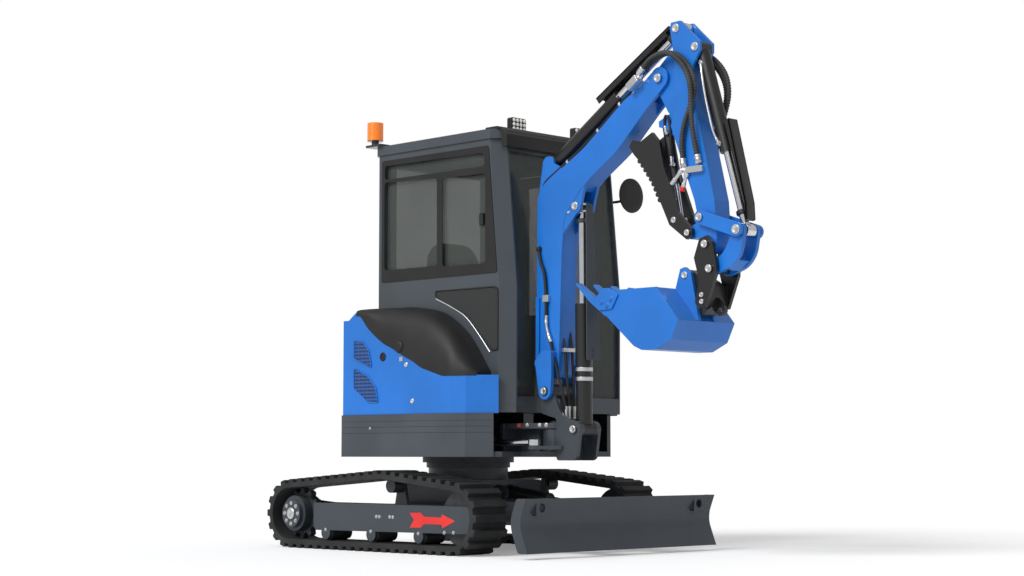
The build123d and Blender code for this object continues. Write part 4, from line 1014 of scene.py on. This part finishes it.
@dataclass
class TankCover:
    """Black moulded cover that swells from the right cover up to the cab's wall."""

    low: Profile = (
        (-330, 1352), (-290, 1345), (-215, 1268), (-100, 1190), (-19, 1155), (139, 1083), (294, 1033),
        (446, 998), (600, 986))
    crest: Profile = (
        (-330, 1400), (-280, 1402), (-175, 1401), (-80, 1400), (-15, 1399), (153, 1374), (279, 1330),
        (440, 1215), (600, 1010))
    edge: Profile = (
        (-340, 1372), (-223, 1340), (-120, 1250), (50, 1142), (230, 1040), (412, 987), (720, 987))
    wall_y: float = -403
    outer_y: float = -595
    proud: float = 3
    tuck: float = 4
    below: float = 15
    fullness: float = 0.85
    shoulder: float = 0.6
    steps: int = 12

    def edge_height(self, x: float) -> float:
        """Height of the painted cover's upper edge.

        Args:
            x: Place along the machine.

        Returns:
            The height there.
        """
        for (x0, z0), (x1, z1) in zip(self.edge, self.edge[1:]):
            if x <= x1:
                return z0 + (z1 - z0) * (x - x0) / (x1 - x0)
        return self.edge[-1][1]

    def build(self) -> None:
        """Loft the cover along the machine, lapping over the painted cover's edge."""
        rings = []
        for (lx, lz), (cx, cz) in zip(smooth_line(self.low, 6), smooth_line(self.crest, 6)):
            rim = self.edge_height(lx)
            foot = min(lz, rim - self.tuck)
            lap = max(lz, min(rim + self.proud, cz - self.tuck))
            met = surface("side_cover", spot(lx, FAR_RIGHT, foot - self.below), LEFT)
            y = max(self.outer_y, met.y / MM - self.proud)
            a = Vector((lx, y, lap))
            b = Vector((lx, y, lap + (cz - lap) * self.fullness))
            c = Vector((cx, y * self.shoulder + self.wall_y * (1 - self.shoulder), cz))
            d = Vector((cx, self.wall_y, cz))
            ring = [spot(lx, y, foot)]
            for k in range(self.steps + 1):
                t = k / self.steps
                q = a * (1 - t) ** 3 + b * 3 * t * (1 - t) ** 2 + c * 3 * t ** 2 * (1 - t) + d * t ** 3
                ring.append(spot(*q))
            ring.append(spot(cx, self.wall_y, foot))
            rings.append(ring)
        form = Form("tank_cover_shell")
        form.loft(rings)
        shell = form.piece("house", "black_plastic")
        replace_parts(shell, "tank_cover")


@dataclass
class SideCover:
    """Vents, locks and the filler on the right cover."""

    y: float = -592
    vents: tuple[Outline, ...] = (
        ((-352, 1212, 12), (-268, 1206, 30), (-215, 1150, 30), (-182, 1040, 18), (-352, 1102, 12)),
        ((-352, 1052, 15), (-215, 1000, 30), (-150, 930, 30), (-128, 842, 14), (-225, 846, 30),
         (-352, 930, 20)))
    rim: Profile = ((0, 0), (0, 5), (6, 5), (8, 0))
    keyhole: Flat = (-94, 1107)
    keyhole_ring: Point = (18, 26, 6)
    filler: Flat = (45, 1160)
    locks: Profile = ((106, 1056), (160, 848))
    lock: Profile = ((-1, 14), (3, 14), (5, 11), (5, 6), (3.5, 5))
    catch: Numbers = (50, 78, 1076, 1102, 4)
    skirt_bolt: Point = (-194, -600, 697)

    def build(self) -> None:
        """Dress the cover."""
        mesh = Form("vent_mesh")
        rims = Form("vent_rims")
        for corners in self.vents:
            outline = rounded(corners)
            mesh.plate(upright(outline, self.y), RIGHT * 0.0015, 0.0005)
            rims.bead(upright(outline, self.y - 1), self.rim)
        mesh.piece("house", "vent_mesh")
        rims.piece("house", "blue_paint")
        dark = Form("cover_openings")
        x, z = self.keyhole
        dark.hoop(spot(x, self.y - 1, z), RIGHT, *self.keyhole_ring)
        dark.turned(spot(x, self.y, z), RIGHT, ((-2, 19), (0.8, 19), (1, 17)), 28)
        x, z = self.filler
        dark.turned(spot(x, self.y + 2, z), RIGHT, ((0, 34), (8, 34), (14, 28), (15, 20)), 32)
        dark.piece("house", "black_plastic")
        steel = Form("cover_locks")
        for x, z in self.locks:
            steel.turned(spot(x, self.y, z), RIGHT, self.lock)
        steel.plate(upright(oblong(*self.catch), self.y), RIGHT * 0.004)
        steel.bolt(spot(*self.skirt_bolt), RIGHT, 5)
        steel.piece("house", "zinc")


@dataclass
class CabTrim:
    """Sashes, seals, brow, lamps and mirror of the cab."""

    wall_y: float = -400
    roof: float = 2377
    window: Outline = ((-327, 1560, 20), (652, 1560, 20), (582, 2284, 20), (-327, 2288, 20))
    panes: tuple[Outline, ...] = (
        ((-301, 2256, 20), (546, 2246, 35), (552, 2169, 20), (-300, 2174, 20)),
        ((-303, 2158, 25), (155, 2140, 25), (157, 1631, 25), (-301, 1633, 25)),
        ((200, 2133, 25), (556, 2127, 25), (558, 1618, 25), (203, 1622, 25)))
    latch: Numbers = (498, 532, 1838, 1906, 5)
    latch_y: float = -380
    low_window: Outline = (
        (150, 1482, 12), (655, 1480, 40), (655, 1128, 18), (600, 1130, 20), (400, 1336, 150), (150, 1448, 12))
    seal: Profile = ((-9, 0), (-8, 6), (0, 7), (6, 2))
    low_edge: Profile = ((152, 1438), (280, 1385), (400, 1322), (500, 1226), (597, 1116))
    brow_side: Outline = (
        (540, -2, 2), (540, 14, 8), (640, 14, 30), (712, -38, 12), (712, -108, 4), (672, -108, 4),
        (668, -40, 6), (662, -2, 4))
    brow_y: float = -386
    brow_width: float = 972
    lamps: Numbers = (-110, 415)
    lamp_x: float = 520
    case_x: float = 497
    case_half: float = 60
    case_z: Flat = (24, 104)
    case_corner: float = 14
    bulb_at: Point = (534, -42, 39)
    bulb_pitch: Flat = (28, 25)
    lamp_foot: Profile = ((0, 22), (6, 22), (10, 11), (30, 11))
    bulb: Profile = ((0, 11), (3, 11), (6, 8), (7, 4))
    mirror: Point = (704, 664, 2085)
    mirror_r: float = 104
    mirror_plate: Numbers = (566, 606, 2020, 2080)
    mirror_plate_y: float = 600
    stalk: Hose = Hose("mirror_stalk", (
        (588, 606, 2050), (600, 640, 2052), (660, 655, 2060), (702, 664, 2085)), 8)
    handle: Numbers = (496, 532, 1470, 1610)
    handle_y: float = 597
    grip: Hose = Hose("door_grip", (
        (514, 600, 1485), (514, 632, 1490), (514, 636, 1540), (514, 632, 1590), (514, 600, 1595)), 8)
    sill: Numbers = (-385, 650, 773, 782)
    sill_y: float = 572
    hood_ray: Point = (-1200, 0, 860)
    hood_lock: Profile = ((-3, 20), (3, 20), (5, 16), (5, 8), (3, 7))

    def sash(self) -> None:
        """Black sliding window frame with its latch."""
        form = Form("side_window_sash")
        form.pierced(self.window, self.panes, self.wall_y, 4)
        form.plate(upright(oblong(*self.latch), self.latch_y), RIGHT * 0.016, 0.003)
        form.piece("house", "black_plastic")

    def low_pane(self) -> None:
        """Small lower pane with its rubber seal and bright lower edge."""
        outline = upright(rounded(self.low_window, 8), self.wall_y)
        pane = Form("low_window_pane")
        pane.plate(outline, RIGHT * 0.002, 0.0005)
        pane.piece("house", "pane")
        seal = Form("low_window_seal")
        seal.bead(outline, self.seal)
        seal.piece("house", "black_plastic")
        edge = Form("low_window_edge")
        low = smooth_line(self.low_edge, 8)
        edge.tube(upright(low, self.wall_y - 3), [5] * len(low), 10)
        edge.piece("house", "trim_steel")

    def brow(self) -> None:
        """Brow over the front with two lamps on short feet."""
        z = self.roof
        form = Form("roof_brow")
        side = rounded([(x, z + up, r) for x, up, r in self.brow_side])
        form.plate(upright(side, self.brow_y), LEFT * self.brow_width * MM, 0.004)
        fronts = Form("lamp_fronts")
        for y in self.lamps:
            form.turned(spot(self.lamp_x, y, z - 1), UP, self.lamp_foot, 20)
            low, high = (z + up for up in self.case_z)
            case = oblong(y - self.case_half, y + self.case_half, low, high, self.case_corner)
            form.plate([spot(self.case_x, a, b) for a, b in case], FRONT * 0.038, 0.004)
            x, aside, up = self.bulb_at
            across, rise = self.bulb_pitch
            for row in range(3):
                for column in range(4):
                    at = spot(x, y + aside + across * column, z + up + rise * row)
                    fronts.turned(at, FRONT, self.bulb, 16)
        brow = form.piece("house", "black_plastic")
        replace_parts(brow, "visor")
        fronts.piece("house", "lamp_lens")

    def mirrors(self) -> None:
        """Round mirror on a bent stalk at the left front corner."""
        x, y, z = self.mirror
        r = self.mirror_r
        form = Form("mirror_shell")
        form.plate(upright(oblong(*self.mirror_plate), self.mirror_plate_y), LEFT * 0.01, 0.002)
        self.stalk.build(form)
        dish = ((0, r - 4), (4, r), (12, r - 1), (17, r - 14), (20, r * 0.6), (21, r * 0.2))
        form.turned(spot(x - 4, y, z), FRONT, dish, 40)
        shell = form.piece("house", "black_plastic")
        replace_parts(shell, "mirror_arm")
        glass = Form("mirror_glass")
        glass.turned(spot(x - 5.5, y, z), FRONT, ((0, r - 10), (1, r - 9), (2, r - 9)), 40)
        glass.piece("house", "chrome")

    def handles(self) -> None:
        """Door handle, the seal under the cab's sill and the hood's lock."""
        door = Form("door_handle")
        door.plate(upright(oblong(*self.handle), self.handle_y), LEFT * 0.008, 0.003)
        self.grip.build(door)
        door.piece("door", "black_plastic")
        sill = Form("cab_sill_seal")
        sill.plate(upright(oblong(*self.sill), self.sill_y), LEFT * 0.025, 0.002)
        sill.piece("house", "black_plastic")
        hood = Form("hood_lock")
        hood.turned(surface("hood", spot(*self.hood_ray), FRONT), -FRONT, self.hood_lock, 28)
        hood.piece("hood", "zinc")

    def build(self) -> None:
        """Dress the cab."""
        self.sash()
        self.low_pane()
        self.brow()
        self.mirrors()
        self.handles()


@dataclass
class Seat:
    """Padded seat on a bellows base."""

    middle_y: float = 100
    base_z: float = 820
    base_height: float = 342
    base_x: Flat = (-205, 185)
    base_shift: Flat = (10, 30)
    base_half: float = 190
    base_corner: float = 40
    pinch: float = 0.94
    folds: int = 14
    cushion: tuple[Point, Point] = ((-10, 100, 1212), (226, 226, 50))
    back: tuple[Point, Point] = ((-222, 100, 1550), (52, 214, 274))
    lean: float = 7.5
    rows: int = 24
    columns: int = 48
    blunt: float = 0.45
    square: float = 0.5
    channel: float = 0.52
    channel_width: float = 0.045
    channel_depth: float = 0.05
    waist: float = 0.05
    taper: float = 0.1

    @staticmethod
    def power(value: float, share: float) -> float:
        """Power that keeps the sign."""
        return math.copysign(abs(value) ** share, value)

    def pad(self, name: str, middle: Point, half: Point, lean: float) -> None:
        """One crowned cushion with sewn channels.

        Args:
            name: Name of the piece.
            middle: Its middle.
            half: Half its sizes.
            lean: Backward lean in degrees.
        """
        form = Form(name)
        rings = []
        tilt = math.radians(lean)
        for i in range(1, self.rows):
            up = math.pi * (i / self.rows - 0.5)
            ring = []
            for k in range(self.columns):
                turn = math.tau * k / self.columns
                x = self.power(math.cos(up), self.blunt) * self.power(math.cos(turn), self.square)
                y = self.power(math.cos(up), self.blunt) * self.power(math.sin(turn), self.square)
                z = self.power(math.sin(up), self.blunt)
                waist = 1 - self.waist * (1 - max(abs(x), abs(y), abs(z)) ** 4)
                groove = math.exp(-((abs(y) - self.channel) / self.channel_width) ** 2)
                sewn = 1 - self.channel_depth * groove
                px = half[0] * x * waist * sewn
                py = half[1] * y * waist * (1 - self.taper * max(0, z) if lean else 1)
                pz = half[2] * z * waist * sewn
                ring.append(spot(middle[0] + px * math.cos(tilt) - pz * math.sin(tilt), middle[1] + py,
                                 middle[2] + pz * math.cos(tilt) + px * math.sin(tilt)))
            rings.append(ring)
        form.loft(rings)
        pad = form.piece("house", "seat_fabric")
        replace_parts(pad, "seat")

    def build(self) -> None:
        """Base, cushion and backrest."""
        self.pad("seat_cushion", *self.cushion, 0)
        self.pad("seat_back", *self.back, self.lean)
        base = Form("seat_base")
        rings = []
        for i in range(self.folds + 1):
            swell = 1 if i % 2 else self.pinch
            z = self.base_z + self.base_height * i / self.folds
            x0, x1 = (x * swell - shift for x, shift in zip(self.base_x, self.base_shift))
            half = self.base_half * swell
            outline = oblong(x0, x1, -half, half, self.base_corner, 4)
            rings.append([spot(x, self.middle_y + y, z) for x, y in outline])
        base.loft(rings)
        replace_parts(base.piece("house", "black_plastic"), "seat")


@dataclass
class RodGuards:
    """Steel guards that travel with the three long rods."""

    thick: float = 8
    half: float = 36
    clamp: float = 24
    web_half: float = 14
    boom_plate: tuple[Point, ...] = ((1124, 1925, 22), (1125, 1900, 25), (1153, 1070, 55), (1154, 1060, 50))
    boom_clamp: Point = (1068.8, BOOM_Y, 1835)
    boom_web: Numbers = (1098, 1122, 1824, 1846)
    boom_bolts: Numbers = (1905, 1110, 1080)
    boom_bolt_x: float = 1124.5
    boom_slope: float = 0.0355

    def beside(self, ends: tuple[Flat, Flat], d: float, h: float) -> Flat:
        """XZ point beside a cylinder's axis.

        Args:
            ends: Foot and eye of the cylinder.
            d: Distance along the axis.
            h: Distance to its left.

        Returns:
            The point.
        """
        foot, eye = (Vector(q) for q in ends)
        u = (eye - foot).normalized()
        at = foot + u * d + Vector((-u.y, u.x)) * h
        return (at.x, at.y)

    def web(self, form: Form, outline: list[Flat]) -> None:
        """Plate that joins a guard to its clamp."""
        form.plate(upright(outline, BOOM_Y - self.web_half), LEFT * (2 * self.web_half * MM), 0.001)

    def channel(self, name: str, body: str, ends: tuple[Flat, Flat], outline: Profile, ring: Flat) -> None:
        """Folded channel clamped to its rod.

        Args:
            name: Name of the piece.
            body: The rod's body.
            ends: Foot and eye of the cylinder.
            outline: (along, off) corners of the channel's side.
            ring: Distance of its clamp along the axis, and the rod's radius.
        """
        form = Form(name)
        along, rod = ring
        crown = outline[1:-1]
        inner = tuple((d, h - self.thick) for d, h in crown)
        strip = [self.beside(ends, *q) for q in crown + inner[::-1]]
        form.plate(upright(strip, BOOM_Y - self.half), LEFT * (2 * self.half * MM), 0.001)
        side = [self.beside(ends, *q) for q in outline]
        for way in (RIGHT, LEFT):
            start = BOOM_Y + (self.half - self.thick) * way.y
            form.plate(upright(side, start), way * (self.thick * MM), 0.001)
        (x0, z0), (x1, z1) = ends
        x, z = self.beside(ends, along, 0)
        form.hoop(spot(x, BOOM_Y, z), Vector((x1 - x0, 0, z1 - z0)), rod + 0.2, rod + 11, self.clamp)
        reach = min(h for _, h in crown if h > 0) - self.thick
        web = oblong(along - self.clamp / 2, along + self.clamp / 2, rod + 6, reach + 6)
        self.web(form, [self.beside(ends, *q) for q in web])
        form.piece(body, "black_paint")

    def boom_guard(self) -> None:
        """Tapered plate in front of the boom rod."""
        form = Form("boom_rod_guard")
        rings = []
        for x, z, half in self.boom_plate:
            places = ((x, -half), (x, half), (x - self.thick, half), (x - self.thick, -half))
            rings.append([spot(a, BOOM_Y + b, z) for a, b in places])
        form.loft(rings)
        form.hoop(spot(*self.boom_clamp), UP, 25.2, 35, self.clamp)
        self.web(form, oblong(*self.boom_web))
        for z in self.boom_bolts:
            x = self.boom_bolt_x + (self.boom_bolts[0] - z) * self.boom_slope
            form.bolt(spot(x, BOOM_Y, z), FRONT, 6)
        form.piece("boom_ram", "frame_paint")

    def build(self) -> None:
        """All three guards."""
        self.boom_guard()
        self.channel("arm_rod_guard", "arm_ram", ((864, 2168), (1804, 2795)),
                     ((468, 48), (468, 86), (1085, 62), (1085, 46)), (1050, 25))
        self.channel("bucket_rod_guard", "bucket_ram", ((1933, 2677), (2220, 1688)),
                     ((440, 50), (440, 82), (900, 62), (985, 42), (985, 34), (900, 48)), (930, 22))


@dataclass
class Cylinders:
    """Bands, pipes and fittings on the cylinders' tubes."""

    bands: Numbers = (1012, 960)
    band: Point = (45.2, 49, 22)
    boom_x: float = 1076.8
    port_y: float = BOOM_Y - 20
    pipe: Hose = Hose("bucket_pipe", (
        (1952, -186, 2592), (1968, -200, 2540), (1990, -202, 2420), (2020, -202, 2300), (2050, -200, 2190),
        (2072, -184, 2150)), 7)
    pipe_ports: Profile = ((1954, 2590), (2070, 2152))
    pipe_port: Profile = ((0, 12), (18, 12), (20, 9), (26, 9))
    loop: Hose = Hose("thumb_loop", (
        (1712, -186, 2256), (1706, -196, 2310), (1722, -198, 2350), (1752, -198, 2300), (1752, -196, 2200),
        (1750, -186, 2080)), 8)
    loop_ports: Profile = ((1711, 2258), (1750, 2076))
    loop_port: Profile = ((0, 11), (14, 11), (16, 9), (24, 9))

    def build(self) -> None:
        """Dress the boom, bucket and thumb cylinders."""
        bands = Form("boom_tube_bands")
        for z in self.bands:
            bands.hoop(spot(self.boom_x, BOOM_Y, z), UP, *self.band)
        bands.piece("boom_tube", "zinc")
        pipes = Form("bucket_tube_pipes")
        self.pipe.ends(pipes, self.pipe.build(pipes))
        for x, z in self.pipe_ports:
            pipes.turned(spot(x, self.port_y, z), RIGHT, self.pipe_port, 16)
        pipes.piece("bucket_tube", "zinc")
        loop = Form("thumb_hose")
        line = self.loop.build(loop)
        loop.piece("thumb_tube", "hose_rubber")
        ends = Form("thumb_hose_ends")
        self.loop.ends(ends, line)
        for x, z in self.loop_ports:
            ends.turned(spot(x, self.port_y, z), RIGHT, self.loop_port, 16)
        ends.piece("thumb_tube", "zinc")


@dataclass
class HoseSet:
    """Hydraulic lines along the boom and round its hinges."""

    arm_runs: tuple[Hose, ...] = (
        Hose("arm_hose_right_a", (
            (1560, -222, 2560), (1612, -230, 2615), (1701, -232, 2653), (1799, -232, 2669),
            (1904, -232, 2596), (1960, -232, 2454), (1921, -232, 2370), (1866, -230, 2260),
            (1850, -228, 2150), (1864, -226, 2060)), 14, Cover.SPIRAL),
        Hose("arm_hose_right_b", (
            (1590, -252, 2585), (1640, -260, 2630), (1710, -262, 2660), (1800, -262, 2664),
            (1900, -262, 2580), (1945, -262, 2470), (1944, -260, 2360), (1942, -250, 2247),
            (1950, -236, 2150), (1966, -226, 2070)), 14, Cover.SPIRAL),
        Hose("arm_hose_left_a", (
            (1560, -78, 2560), (1640, -70, 2640), (1760, -68, 2690), (1900, -66, 2670), (2020, -66, 2560),
            (2050, -66, 2440), (2020, -68, 2330), (1975, -72, 2220), (1960, -74, 2110)), 14, Cover.SPIRAL),
        Hose("arm_hose_left_b", (
            (1590, -48, 2585), (1660, -40, 2650), (1770, -38, 2690), (1880, -36, 2650), (1980, -36, 2540),
            (2010, -36, 2430), (1975, -40, 2320), (1920, -60, 2210), (1910, -74, 2110)), 14, Cover.SPIRAL))
    arm_block: Outline = ((1850, 2044, 6), (1992, 2044, 6), (1992, 2010, 6), (1872, 2010, 6))
    boom_block: Outline = ((1512, 2490, 5), (1580, 2538, 5), (1556, 2574, 5), (1488, 2526, 5))
    arm_block_out: float = 60
    boom_block_out: float = 61
    valve_at: Point = (1884, -222, 2012)
    valve_way: Point = (-0.35, 0, -0.9)
    valve: Profile = ((0, 14), (20, 14), (22, 10), (52, 10), (54, 13), (78, 13))
    cap_at: Point = (1857, -222, 1942)
    cap: Profile = ((0, 15), (20, 15), (24, 12))
    union_at: Point = (1858, -238, 2026)
    union_way: Point = (-0.72, 0, -0.69)
    union: Profile = ((-12, 9), (0, 13), (18, 13), (20, 9), (56, 9), (58, 12), (92, 12), (94, 10))
    stub_at: Point = (1858, -210, 2026)
    stub: Profile = ((-2, 10), (36, 10), (38, 8))
    back_line: Profile = (
        (812, 2010), (822, 2062), (895, 2104), (1010, 2168), (1132, 2236), (1290, 2352), (1434, 2466),
        (1500, 2512))
    back_y: Numbers = (-203, -97)
    back_clips: Profile = ((1010, 2167), (1240, 2315), (1400, 2440))
    clip_way: Point = (0.82, 0, 0.57)
    clip: Point = (9.3, 13, 16)
    side_y: float = -212
    side_hose: Hose = Hose("boom_side_hose", (
        (800, -222, 1690), (812, -224, 1620), (849, -224, 1558), (860, -224, 1426), (860, -224, 1290)))
    side_clip: Numbers = (838, 882, 1392, 1432, 4)
    foot_clamp: Numbers = (-192, -108, 1112, 1134)
    foot_clamp_x: float = 943
    elbow: Hose = Hose("boom_elbow", (
        (860, -224, 1300), (860, -224, 1262), (876, -224, 1215), (888, -224, 1184)), 9.5)
    rail: Outline = ((778, 1080, 4), (800, 1066, 4), (804, 1420, 4), (778, 1424, 4))
    grommet_at: Point = (800, -211, 1692)
    grommet: Profile = ((-2, 17), (6, 17), (10, 14), (20, 13), (23, 9))
    foot_runs: tuple[Hose, ...] = (
        Hose("foot_hose_a", (
            (884, -224, 1194), (900, -225, 1150), (932, -228, 1060), (962, -226, 950), (980, -212, 870),
            (984, -196, 790)), 8),
        Hose("foot_hose_b", (
            (940, -176, 1200), (958, -176, 1140), (966, -176, 1040), (974, -174, 940), (982, -172, 860),
            (984, -170, 790)), 8),
        Hose("foot_hose_c", (
            (940, -124, 1240), (960, -124, 1170), (968, -124, 1050), (974, -126, 940), (982, -128, 860),
            (984, -130, 790)), 8))

    def over_arm(self) -> None:
        """Spiral-wrapped pairs that cross the arm's hinge on both sides."""
        boom_ends = Form("boom_hose_ends")
        arm_ends = Form("arm_hose_ends")
        for hose in self.arm_runs:
            form = Form(hose.name)
            line = hose.build(form)
            hose.ferrule(boom_ends, line, False)
            hose.ferrule(arm_ends, line, True)
            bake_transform(form.piece(None, "hose_wrap"))
        for way in (RIGHT, LEFT):
            near = upright(rounded(self.arm_block), BOOM_Y + self.arm_block_out * way.y)
            arm_ends.plate(near, way * 0.024, 0.003)
            near = upright(rounded(self.boom_block), BOOM_Y + self.boom_block_out * way.y)
            boom_ends.plate(near, way * 0.052, 0.003)
        valve_way = Vector(self.valve_way)
        arm_ends.turned(spot(*self.valve_at), valve_way, self.valve, 16)
        arm_ends.turned(spot(*self.union_at), Vector(self.union_way), self.union, 16)
        arm_ends.turned(spot(*self.stub_at), RIGHT, self.stub, 16)
        arm_ends.piece("arm", "zinc")
        boom_ends.piece("boom", "zinc")
        cap = Form("arm_valve_cap")
        cap.turned(spot(*self.cap_at), valve_way, self.cap, 20)
        cap.piece("arm", "red_mark")

    def along_boom(self) -> None:
        """Lines on the boom's back and side, and the clips that hold them."""
        lines = Form("boom_lines")
        clips = Form("boom_line_clips")
        for y in self.back_y:
            Hose("boom_line", tuple((x, y, z) for x, z in self.back_line)).build(lines)
            for x, z in self.back_clips:
                clips.hoop(spot(x, y, z), Vector(self.clip_way), *self.clip)
        self.side_hose.build(lines)
        lines.piece("boom", "hose_rubber")
        clips.plate(upright(oblong(*self.side_clip), self.side_y), RIGHT * 0.022, 0.002)
        clamp = [spot(self.foot_clamp_x, y, z) for y, z in oblong(*self.foot_clamp)]
        clips.plate(clamp, FRONT * 0.031, 0.003)
        self.elbow.ends(clips, self.elbow.build(clips))
        clips.piece("boom", "zinc")
        rail = Form("boom_side_rail")
        rail.plate(upright(rounded(self.rail), self.side_y), RIGHT * 0.012, 0.002)
        rail.piece("boom", "blue_paint")
        grommet = Form("boom_hose_grommet")
        grommet.turned(spot(*self.grommet_at), RIGHT, self.grommet, 20)
        grommet.piece("boom", "black_plastic")

    def at_foot(self) -> None:
        """Lines that drop from the boom into the swing bracket, with their lower fittings."""
        fittings = Form("bracket_hose_ends")
        drop = Form("boom_foot_hoses")
        for hose in self.foot_runs:
            line = hose.build(drop)
            x, y, z = hose.route[-1]
            low = surface("swing_bracket", spot(x, y, z), -UP)
            rise = z - low.z / MM
            neck = ((-4, 11), (8, 11), (9, 8), (max(12, rise - 6), 8), (max(16, rise + 22), 10))
            fittings.turned(low, UP, neck, 14)
        fittings.piece("swing_bracket", "zinc")
        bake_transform(drop.piece(None, "hose_rubber"))

    def build(self) -> None:
        """All lines."""
        self.over_arm()
        self.along_boom()
        self.at_foot()


@dataclass
class Bucket:
    """Side cutters bolted to the bucket's cheeks."""

    cutter: Outline = (
        (1372, 1366, 6), (1436, 1425, 10), (1478, 1424, 10), (1545, 1386, 10), (1498, 1311, 12),
        (1404, 1307, 12))
    bolts: Profile = ((1428, 1350), (1492, 1364), (1466, 1330))
    half: float = 230
    thick: float = 10
    bolt_r: float = 9

    def build(self) -> None:
        """Plates on both cheeks."""
        form = Form("side_cutters")
        for way in (RIGHT, LEFT):
            y = BOOM_Y + self.half * way.y
            form.plate(upright(rounded(self.cutter), y), way * (self.thick * MM), 0.002)
            for x, z in self.bolts:
                form.bolt(spot(x, y + way.y * self.thick, z), way, self.bolt_r)
        form.piece("hitch", "blue_paint")


@dataclass
class ThumbTeeth:
    """Rounded gripping teeth along the thumb's inner edge."""

    edge: Profile = ((1548, 2112), (1560, 2100), (1640, 1990), (1694, 1879))
    pitch: float = 33
    radius: float = 14
    inner: float = 48
    outer: float = 68

    def build(self) -> None:
        """Teeth on both plates of the thumb."""
        form = Form("thumb_teeth")
        places = []
        carry = 0
        for a, b in zip(self.edge, self.edge[1:]):
            run = Vector(b) - Vector(a)
            along = carry
            while along < run.length:
                places.append((Vector(a) + run.normalized() * along, run.angle_signed(Vector((1, 0)))))
                along += self.pitch
            carry = along - run.length
        for at, heading in places:
            turns = [heading + math.pi * (k / 8 - 1) for k in range(9)]
            bump = [(at.x + self.radius * math.cos(t), at.y + self.radius * math.sin(t)) for t in turns]
            for way in (RIGHT, LEFT):
                push = way * ((self.outer - self.inner) * MM)
                form.plate(upright(bump, BOOM_Y + self.inner * way.y), push, 0.002)
        form.piece("thumb", "black_paint")


@dataclass
class DeckFittings:
    """Grease strip and bolts on the swing deck's right edge."""

    strip_x: float = 690
    strip_half: float = 9
    margin: float = 5
    bolt_r: float = 7
    level: float = 709
    heights: Numbers = (703, 709, 715)
    bolts: Numbers = (740, 822, 865)
    out: Point = (0.19, -0.98, 0)
    nipple: Profile = ((0, 2.6), (4, 2.6), (5, 2), (9, 2), (11, 2.4), (13, 1.5))

    def face(self, x: float, z: float) -> Vector:
        """Point on the deck's upright edge at one X and height."""
        met = surface("swing_deck", spot(x, FAR_RIGHT, self.level), LEFT)
        return Vector((met.x, met.y, z * MM))

    def build(self) -> None:
        """Red strip with its nipples, and the bolts ahead of it."""
        out = Vector(self.out)
        strip = Form("grease_strip")
        steel = Form("deck_bolts")
        x, half = self.strip_x, self.strip_half
        corners = oblong(x - half, x + half, self.heights[0] - self.margin, self.heights[-1] + self.margin)
        strip.plate([self.face(*q) for q in corners], out * 0.006, 0.001)
        for z in self.heights:
            steel.turned(self.face(x, z) + out * 0.005, out, self.nipple, 14)
        for bx in self.bolts:
            steel.bolt(self.face(bx, self.level), out, self.bolt_r)
        strip.piece("house", "red_mark")
        steel.piece("house", "zinc")


def dress_nodes() -> None:
    """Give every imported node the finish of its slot."""
    for part in frame["record"]["subparts"]:
        node = frame["nodes"][part["node"]]
        stepped = part["node"] in ("skirt", "counterweight")
        node.data.materials.clear()
        node.data.materials.append(material("stepped_grey" if stepped else part["material_slot"]))


def main() -> None:
    """Build the studio, the finishes and every added piece."""
    logging.basicConfig(level=logging.INFO, format="%(message)s")
    Studio().build()
    dress_nodes()
    assemblies = (Undercarriage, TankCover, SideCover, CabTrim, Seat, PinHeads, RodGuards, Cylinders, HoseSet,
                  Bucket, ThumbTeeth, DeckFittings)
    for assembly in assemblies:
        assembly().build()


if __name__ == "__main__":
    main()
